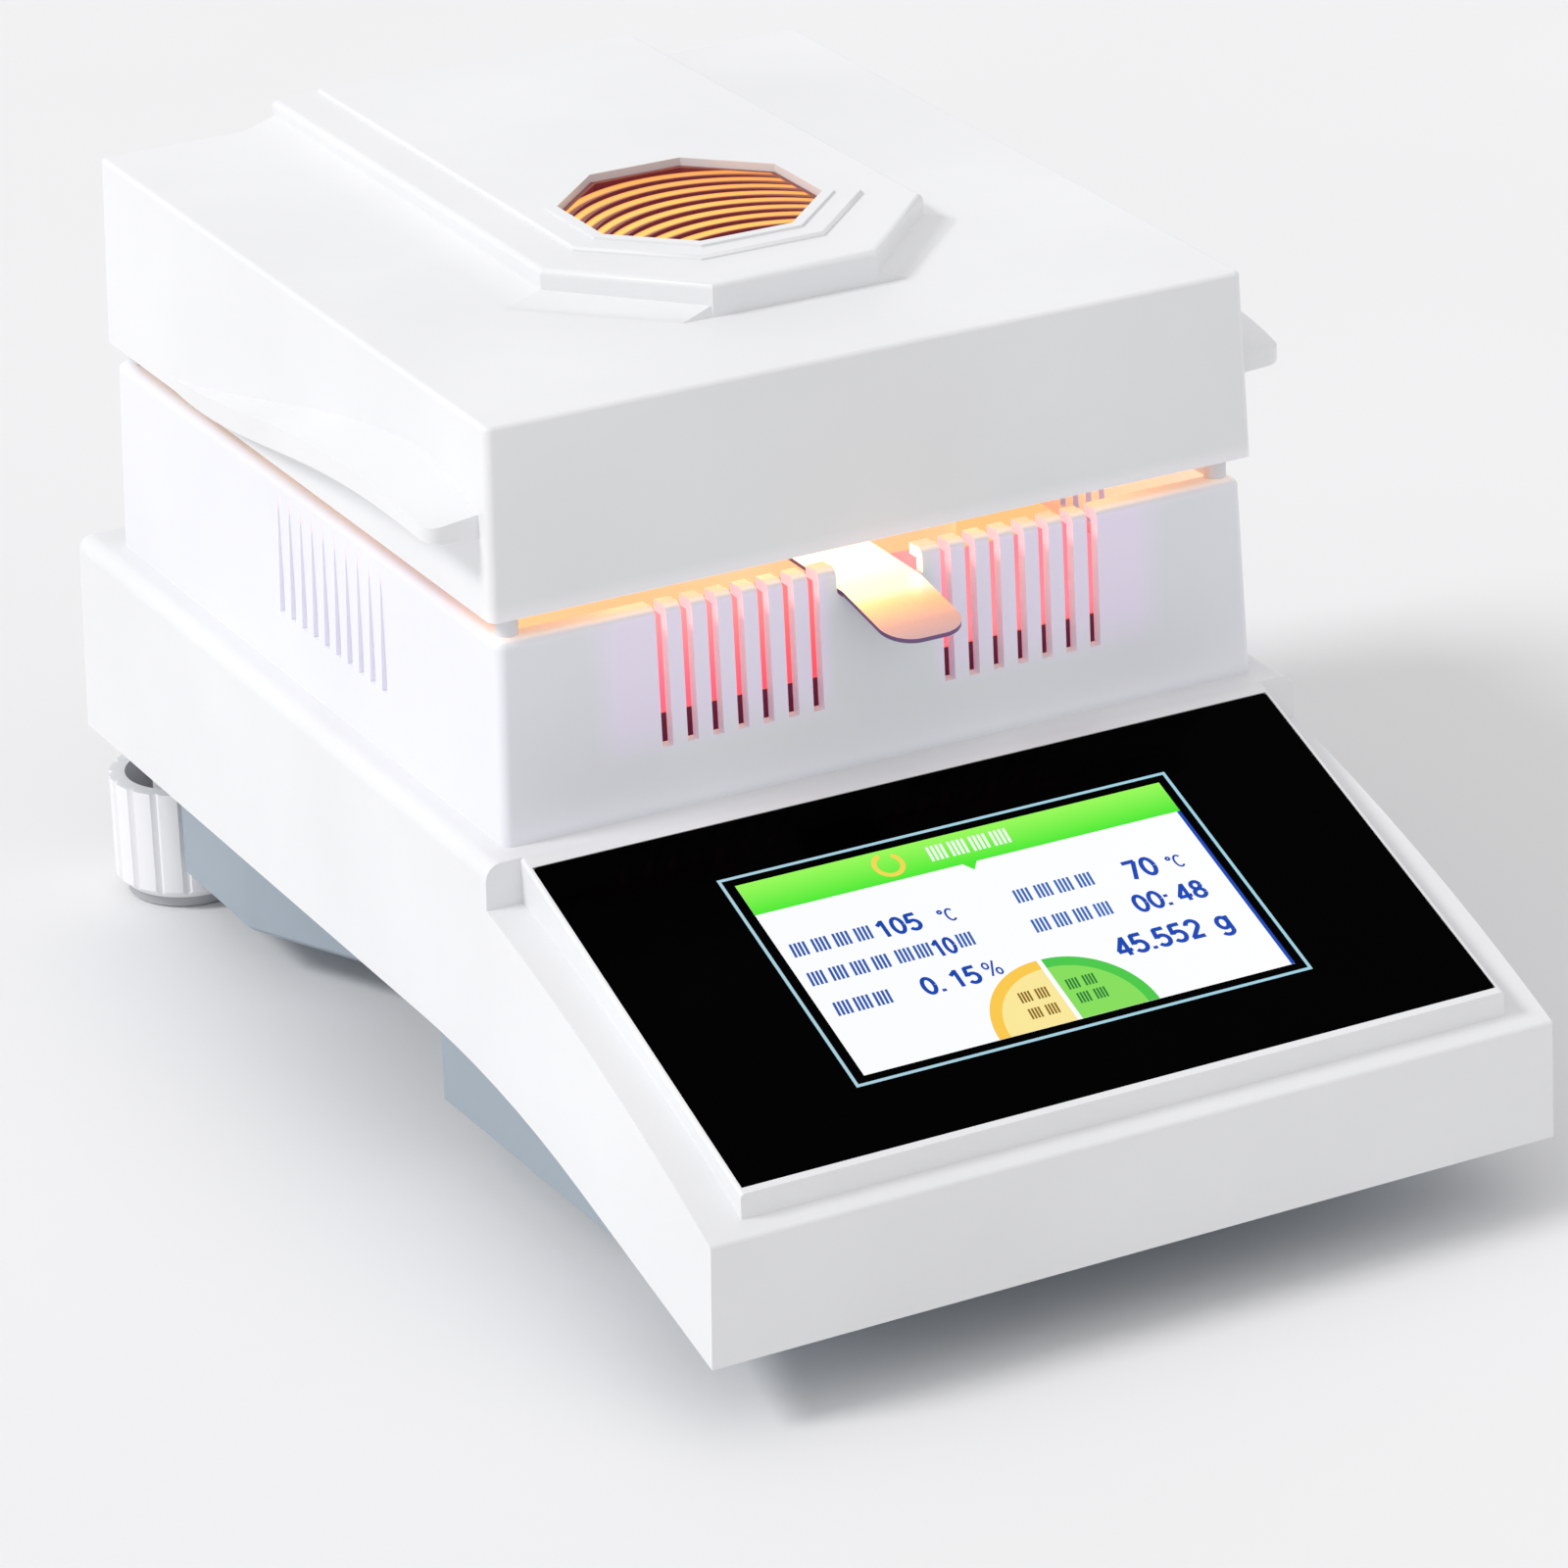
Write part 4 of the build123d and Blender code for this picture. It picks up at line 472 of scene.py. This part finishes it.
def dress(name, node):
    """Give a CAD node its material, smooth faces and soft edges."""
    mesh = node.data
    mesh.materials.clear()
    mesh.materials.append(finish.get(name, steel))
    for poly in mesh.polygons:
        poly.use_smooth = True
        poly.material_index = 0
    weld = node.modifiers.new("weld", "WELD")
    weld.merge_threshold = 0.005 * MM
    if name in soft_edges:
        bevel = node.modifiers.new("bevel", "BEVEL")
        bevel.width = soft_edges[name] * MM
        bevel.segments = 2
        bevel.limit_method = "ANGLE"
        bevel.angle_limit = radians(35)
        bevel.use_clamp_overlap = True
    split = node.modifiers.new("split", "EDGE_SPLIT")
    split.split_angle = radians(32)
    normals = node.modifiers.new("normals", "WEIGHTED_NORMAL")
    normals.keep_sharp = True


for name, node in nodes.items():
    dress(name, node)

# Screen picture, drawn flat on the panel in the panel's own millimetres: u across, v up the slope
slope = radians(20.6)
panel_up = Vector((0, cos(slope), sin(slope)))
panel_out = Vector((0, -sin(slope), cos(slope)))
panel_right = Vector((1, 0, 0))
panel_corner = Vector((-94.3, -65.7, 92)) - 107.6 * panel_up
panel_frame = Matrix([
    (panel_right[axis] * MM, panel_up[axis] * MM, panel_out[axis] * MM, panel_corner[axis] * MM)
    for axis in range(3)
] + [(0, 0, 0, 1)])
LEVEL_GROUND = 0.05
LEVEL_BAND = 0.1
LEVEL_MARK = 0.15


def lit(name, low, high, strength=0.95, axis="X", ends=(40, 149)):
    """Material of a lit area of the screen, shaded along one axis of the screen's own millimetres."""
    mat, tree, bsdf = new_material(name)
    run = remap(tree, part_of(tree, surface(tree, "Object"), axis), *ends)
    glow(mat, ramp(tree, run, [(0.0, low), (1.0, high)]), strength)
    bsdf.inputs["Base Color"].default_value = (0.01, 0.01, 0.01, 1)
    tree.links.new(remap(tree, noise(tree, 0.4, 4), 0, 1, 0.05, 0.12), bsdf.inputs["Roughness"])
    bsdf.inputs["Specular IOR Level"].default_value = 0.006
    return mat


def show(name, mesh, level, mat):
    """Lay a flat mesh on the panel, so far above the glass."""
    mesh.materials.clear()
    mesh.materials.append(mat)
    obj = bpy.data.objects.new(name, mesh)
    bpy.context.scene.collection.objects.link(obj)
    obj.matrix_world = panel_frame @ Matrix.Translation((0, 0, level))
    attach(obj, "root")
    return obj


def flat_piece(name, rings, level, mat):
    """A flat piece from closed rings of points."""
    shape = bmesh.new()
    for points in rings:
        shape.faces.new([shape.verts.new((u, v, 0)) for u, v in points])
    mesh = bpy.data.meshes.new(name)
    shape.to_mesh(mesh)
    shape.free()
    return show(name, mesh, level, mat)


def box(u0, v0, u1, v1):
    """Corners of a rectangle."""
    return [(u0, v0), (u1, v0), (u1, v1), (u0, v1)]


def outline(u0, v0, u1, v1, width):
    """Four strips inside a rectangle's edges."""
    return [
        box(u0, v0, u1, v0 + width),
        box(u0, v1 - width, u1, v1),
        box(u0, v0 + width, u0 + width, v1 - width),
        box(u1 - width, v0 + width, u1, v1 - width),
    ]


def arc(u, v, radius, start, end, steps=24):
    """Points round a middle, between two angles in degrees."""
    turns = [radians(start + (end - start) * step / steps) for step in range(steps + 1)]
    return [(u + radius * cos(turn), v + radius * sin(turn)) for turn in turns]


def band(u, v, inner, outer, start, end):
    """Closed ring of a bent strip."""
    return arc(u, v, outer, start, end) + arc(u, v, inner, end, start)


def curl(u, v, wide, high, start, end):
    """A line along an ellipse."""
    return [(u + wide * x, v + high * y) for x, y in arc(0, 0, 1, start, end)]


def ribbon(line, width):
    """A closed ring of points round a line."""
    left, right = [], []
    for index, (u, v) in enumerate(line):
        back = line[max(index - 1, 0)]
        ahead = line[min(index + 1, len(line) - 1)]
        side = Vector((back[1] - ahead[1], ahead[0] - back[0])).normalized() * width / 2
        left.append((u + side.x, v + side.y))
        right.append((u - side.x, v - side.y))
    return left + right[::-1]


def loop(u, v, wide, high):
    """A closed ellipse."""
    return curl(u, v, wide, high, 0, 359)


# Plain figures and unit signs: how far each one reaches, and its lines in a box one high
DIGIT_REACH = 0.7
POINT_REACH = 0.3
GLYPHS = {
    "0": (DIGIT_REACH, [loop(0.33, 0.5, 0.24, 0.44)]),
    "1": (DIGIT_REACH, [[(0.4, 0), (0.4, 1.0)], [(0.43, 0.95), (0.14, 0.72)]]),
    "2": (DIGIT_REACH, [curl(0.33, 0.69, 0.23, 0.25, 170, -38) + [(0.1, 0.05)], [(0.06, 0.06), (0.6, 0.06)]]),
    "4": (
        DIGIT_REACH,
        [[(0.46, 0), (0.46, 1.0)], [(0.47, 0.97), (0.06, 0.28)], [(0.03, 0.27), (0.64, 0.27)]],
    ),
    "5": (
        DIGIT_REACH,
        [[(0.57, 0.94), (0.14, 0.94)], [(0.17, 0.98), (0.1, 0.46)], curl(0.32, 0.32, 0.25, 0.27, 138, -150)],
    ),
    "7": (DIGIT_REACH, [[(0.07, 0.94), (0.61, 0.94)], [(0.58, 0.94), (0.24, 0)]]),
    "8": (DIGIT_REACH, [loop(0.33, 0.73, 0.19, 0.21), loop(0.33, 0.27, 0.23, 0.23)]),
    ".": (POINT_REACH, [[(0.13, 0), (0.13, 0.15)]]),
    ":": (POINT_REACH, [[(0.13, 0), (0.13, 0.15)], [(0.13, 0.5), (0.13, 0.65)]]),
    " ": (POINT_REACH, []),
    "°": (0.36, [loop(0.14, 0.84, 0.11, 0.11)]),
    "C": (DIGIT_REACH, [curl(0.33, 0.5, 0.26, 0.44, 45, 315)]),
    "%": (1.0, [loop(0.2, 0.74, 0.14, 0.2), loop(0.74, 0.24, 0.14, 0.2), [(0.68, 1.0), (0.26, 0)]]),
    "g": (
        DIGIT_REACH,
        [loop(0.31, 0.38, 0.22, 0.3), [(0.55, 0.72), (0.55, -0.05)], curl(0.31, -0.05, 0.24, 0.22, 0, -155)],
    ),
}


def figures(name, text, u, v, high, stroke=0.19, narrow=1.0):
    """Plain figures round a middle point, with strokes as a share of their height."""
    scale = high * narrow
    reach = sum(GLYPHS[mark][0] for mark in text) * scale
    place = u - reach / 2
    rings = []
    for mark in text:
        advance, lines = GLYPHS[mark]
        for line in lines:
            spread = [(place + x * scale, v + (y - 0.5) * high) for x, y in line]
            rings.append(ribbon(spread, stroke * high))
        place += advance * scale
    return flat_piece(name, rings, LEVEL_MARK, blue)


def tiles(u, v, count, size, pitch, ticks=4):
    """A row of hatched square tiles, in place of a written caption."""
    step = size / ticks
    lean = 0.35 * step
    thick = 0.62 * step
    rings = []
    for left in (u + index * pitch for index in range(count)):
        for start in (left + tick * step for tick in range(ticks)):
            end = start + thick
            rings.append([(start, v), (end, v), (end + lean, v + size), (start + lean, v + size)])
    return rings


cyan = lit("screen_border", (0.42, 0.66, 0.76), (0.38, 0.68, 0.8), 0.95)
paper = lit("screen_ground", (0.96, 0.97, 0.98), (0.98, 0.985, 0.99), 1.0)
green = lit("screen_header", (0.07, 0.86, 0.03), (0.34, 1.0, 0.11), 0.95, "Y", (74, 84))
blue = lit("screen_digits", (0.0, 0.055, 0.42), (0.01, 0.07, 0.5))
soft_blue = lit("screen_captions", (0.02, 0.09, 0.42), (0.05, 0.17, 0.55))
yellow = lit("screen_key_yellow", (1.0, 0.84, 0.32), (1.0, 0.84, 0.36))
yellow_edge = lit("screen_key_yellow_edge", (1.0, 0.6, 0.07), (1.0, 0.62, 0.08))
leaf = lit("screen_key_green", (0.24, 0.76, 0.1), (0.26, 0.78, 0.12))
leaf_edge = lit("screen_key_green_edge", (0.06, 0.6, 0.1), (0.08, 0.62, 0.05))
gold = lit("screen_spinner", (0.95, 0.72, 0.1), (0.95, 0.68, 0.08))
pale = lit("screen_header_marks", (0.9, 1.0, 0.88), (0.92, 1.0, 0.9))
brown = lit("screen_key_marks_brown", (0.24, 0.13, 0.01), (0.26, 0.14, 0.01))
moss = lit("screen_key_marks_green", (0.02, 0.2, 0.03), (0.02, 0.22, 0.04))

border_box = (37.0, 18.5, 152.0, 86.9)
border_width = 0.8
screen_left, screen_low, screen_right, screen_high = 40.2, 21.3, 149.0, 84.0
header_low = 74.0
edge_line_width = 0.9
pointer_u, pointer_drop, pointer_half = 94.3, 2.4, 1.8
spinner_u, spinner_v, spinner_inner, spinner_outer = 76.3, 79.2, 2.7, 3.9
key_u, key_radius, key_edge, key_gap = 94.0, 16.8, 2.8, 0.6

flat_piece("screen_border", outline(*border_box, border_width), LEVEL_GROUND, cyan)
flat_piece("screen_ground", [box(screen_left, screen_low, screen_right, screen_high)], LEVEL_GROUND, paper)
flat_piece(
    "screen_header",
    [[
        (screen_left, header_low),
        (pointer_u - pointer_half, header_low),
        (pointer_u, header_low - pointer_drop),
        (pointer_u + pointer_half, header_low),
        (screen_right, header_low),
        (screen_right, screen_high),
        (screen_left, screen_high),
    ]],
    LEVEL_BAND,
    green,
)
edge_line = box(screen_right - edge_line_width, screen_low, screen_right, header_low)
flat_piece("screen_edge_line", [edge_line], LEVEL_BAND, blue)
spinner = band(spinner_u, spinner_v, spinner_inner, spinner_outer, 105, 415)
flat_piece("screen_spinner", [spinner], LEVEL_MARK, gold)
flat_piece("screen_header_bars", tiles(86.4, 77.0, 4, 4.7, 5.4), LEVEL_MARK, pale)
for side, mat, edge_mat, word in ((-1, yellow, yellow_edge, "yellow"), (1, leaf, leaf_edge, "green")):
    start = key_u + side * key_gap
    end_turn = 90 - side * 90
    quarter = [(start, screen_low)] + arc(start, screen_low, key_radius, 90, end_turn)
    rim = band(start, screen_low, key_radius, key_radius + key_edge, 90, end_turn)
    flat_piece(f"screen_key_{word}", [quarter], LEVEL_BAND, mat)
    flat_piece(f"screen_key_{word}_edge", [rim], LEVEL_BAND, edge_mat)

# Readouts: name, figures, middle u and v, height, and stroke and narrowing where they differ
readouts = (
    ("digits_set_temperature", "105", 69.3, 60.9, 5.3),
    ("unit_set_temperature", "°C", 81.5, 60.3, 4.1, 0.13, 0.95),
    ("digits_timer", "10", 75.9, 51.5, 5.2, 0.17, 0.8),
    ("digits_loss", "0. 15", 72.3, 41.5, 5.4),
    ("unit_loss", "%", 83.0, 41.9, 4.6, 0.11),
    ("digits_temperature", "70", 130.8, 59.9, 5.9),
    ("unit_temperature", "°C", 139.7, 59.3, 4.1, 0.13, 0.95),
    ("digits_time", "00: 48", 132.6, 49.7, 5.5),
    ("digits_weight", "45.552", 123.5, 38.5, 5.9),
    ("unit_weight", "g", 140.0, 38.8, 5.8),
)
for readout in readouts:
    figures(*readout)

# Captions: left end u, foot v, tiles and their pitch
caption_size = 4.2
caption_rows = (
    (42.6, 59.0, 4, 5.3),
    (42.2, 49.6, 4, 5.3),
    (64.0, 49.8, 2, 4.7),
    (79.4, 49.9, 1, 4.7),
    (43.4, 39.4, 3, 4.9),
    (98.6, 58.5, 4, 5.3),
    (98.0, 48.7, 4, 5.3),
)
caption_tiles = []
for u, v, count, pitch in caption_rows:
    caption_tiles += tiles(u, v, count, caption_size, pitch)
flat_piece("screen_captions", caption_tiles, LEVEL_MARK, soft_blue)
key_caption_size, key_caption_pitch = 3.2, 4.2
for word, mat, places in (
    ("yellow", brown, ((84.0, 29.8), (83.8, 24.6))),
    ("green", moss, ((96.2, 30.2), (96.6, 25.6))),
):
    key_tiles = [tile for u, v in places for tile in tiles(u, v, 2, key_caption_size, key_caption_pitch)]
    flat_piece(f"screen_key_captions_{word}", key_tiles, LEVEL_MARK, mat)


# Light of the heater over the pan, and of the glow under the lid's edge
def hidden_light(name, kind, place, energy, colour, **settings):
    """A lamp of the scene that rides with the lid and doesn't show itself."""
    data = bpy.data.lights.new(name, kind)
    data.energy = energy
    data.color = colour
    for key, value in settings.items():
        setattr(data, key, value)
    obj = bpy.data.objects.new(name, data)
    obj.location = [part * MM for part in place]
    obj.visible_camera = False
    obj.visible_glossy = kind == "AREA"
    bpy.context.scene.collection.objects.link(obj)
    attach(obj, "lid")
    return obj


heater_place = (0, window_middle_y, 152.5)
hidden_light("heater", "AREA", heater_place, 0.10, (1.0, 0.55, 0.22), shape="DISK", size=0.11)
rim_lamp_y, rim_lamp_z = -46, 147.5
for index, x in enumerate((-62, -28, 28, 62)):
    rim_place = (x, rim_lamp_y, rim_lamp_z)
    hidden_light(f"rim_{index}", "POINT", rim_place, 0.003, (1.0, 0.5, 0.16), shadow_soft_size=0.006)


# Floor
bpy.ops.mesh.primitive_plane_add(size=12, location=(0, 0, 0))
floor = bpy.context.object
floor.name = "floor"
mat, tree, bsdf = new_material("floor")
tint = ramp(tree, noise(tree, 3, 2), [(0.3, (0.86, 0.86, 0.87)), (0.7, (0.88, 0.88, 0.89))])
tree.links.new(tint, bsdf.inputs["Base Color"])
bsdf.inputs["Roughness"].default_value = 0.7
bsdf.inputs["Specular IOR Level"].default_value = 0.2
floor.data.materials.append(mat)


# Surroundings: white to the eye and in reflections, softer as a light
def studio_world(light_level, seen_level):
    world = bpy.data.worlds.new("studio")
    world.use_nodes = True
    tree = world.node_tree
    tree.nodes.clear()
    path = tree.nodes.new("ShaderNodeLightPath").outputs
    seen = maths(tree, "MAXIMUM", path["Is Camera Ray"], path["Is Glossy Ray"])
    seen = maths(tree, "MAXIMUM", seen, path["Is Transmission Ray"])
    ground = tree.nodes.new("ShaderNodeBackground")
    ground.inputs["Color"].default_value = (1, 1, 1, 1)
    tree.links.new(remap(tree, seen, 0, 1, light_level, seen_level), ground.inputs["Strength"])
    end = tree.nodes.new("ShaderNodeOutputWorld")
    tree.links.new(ground.outputs["Background"], end.inputs["Surface"])
    return world


bpy.context.scene.world = studio_world(0.72, 1.0)
sun_data = bpy.data.lights.new("sun", "SUN")
sun_data.energy = 1.35
sun_data.angle = radians(14)
sun = bpy.data.objects.new("sun", sun_data)
sun.rotation_euler = Vector((-0.72, 0.12, 0.68)).to_track_quat("Z", "Y").to_euler()
bpy.context.scene.collection.objects.link(sun)

# Camera at the photograph's angle
camera_place = Vector((-0.6549, -1.2899, 0.6901))
camera_right = Vector((0.88404, -0.46639, -0.03081))
camera_up = Vector((0.21057, 0.33855, 0.91708))
camera_back = Vector((-0.41729, -0.81723, 0.3975))
camera_data = bpy.data.cameras.new("camera")
camera_data.lens = 153.19
camera_data.sensor_width = 36
camera_data.clip_start = 0.05
camera = bpy.data.objects.new("camera", camera_data)
camera.matrix_world = Matrix([
    (camera_right[axis], camera_up[axis], camera_back[axis], camera_place[axis]) for axis in range(3)
] + [(0, 0, 0, 1)])
bpy.context.scene.collection.objects.link(camera)
bpy.context.scene.camera = camera
bpy.context.scene.view_settings.view_transform = "Standard"

bpy.context.view_layer.update()
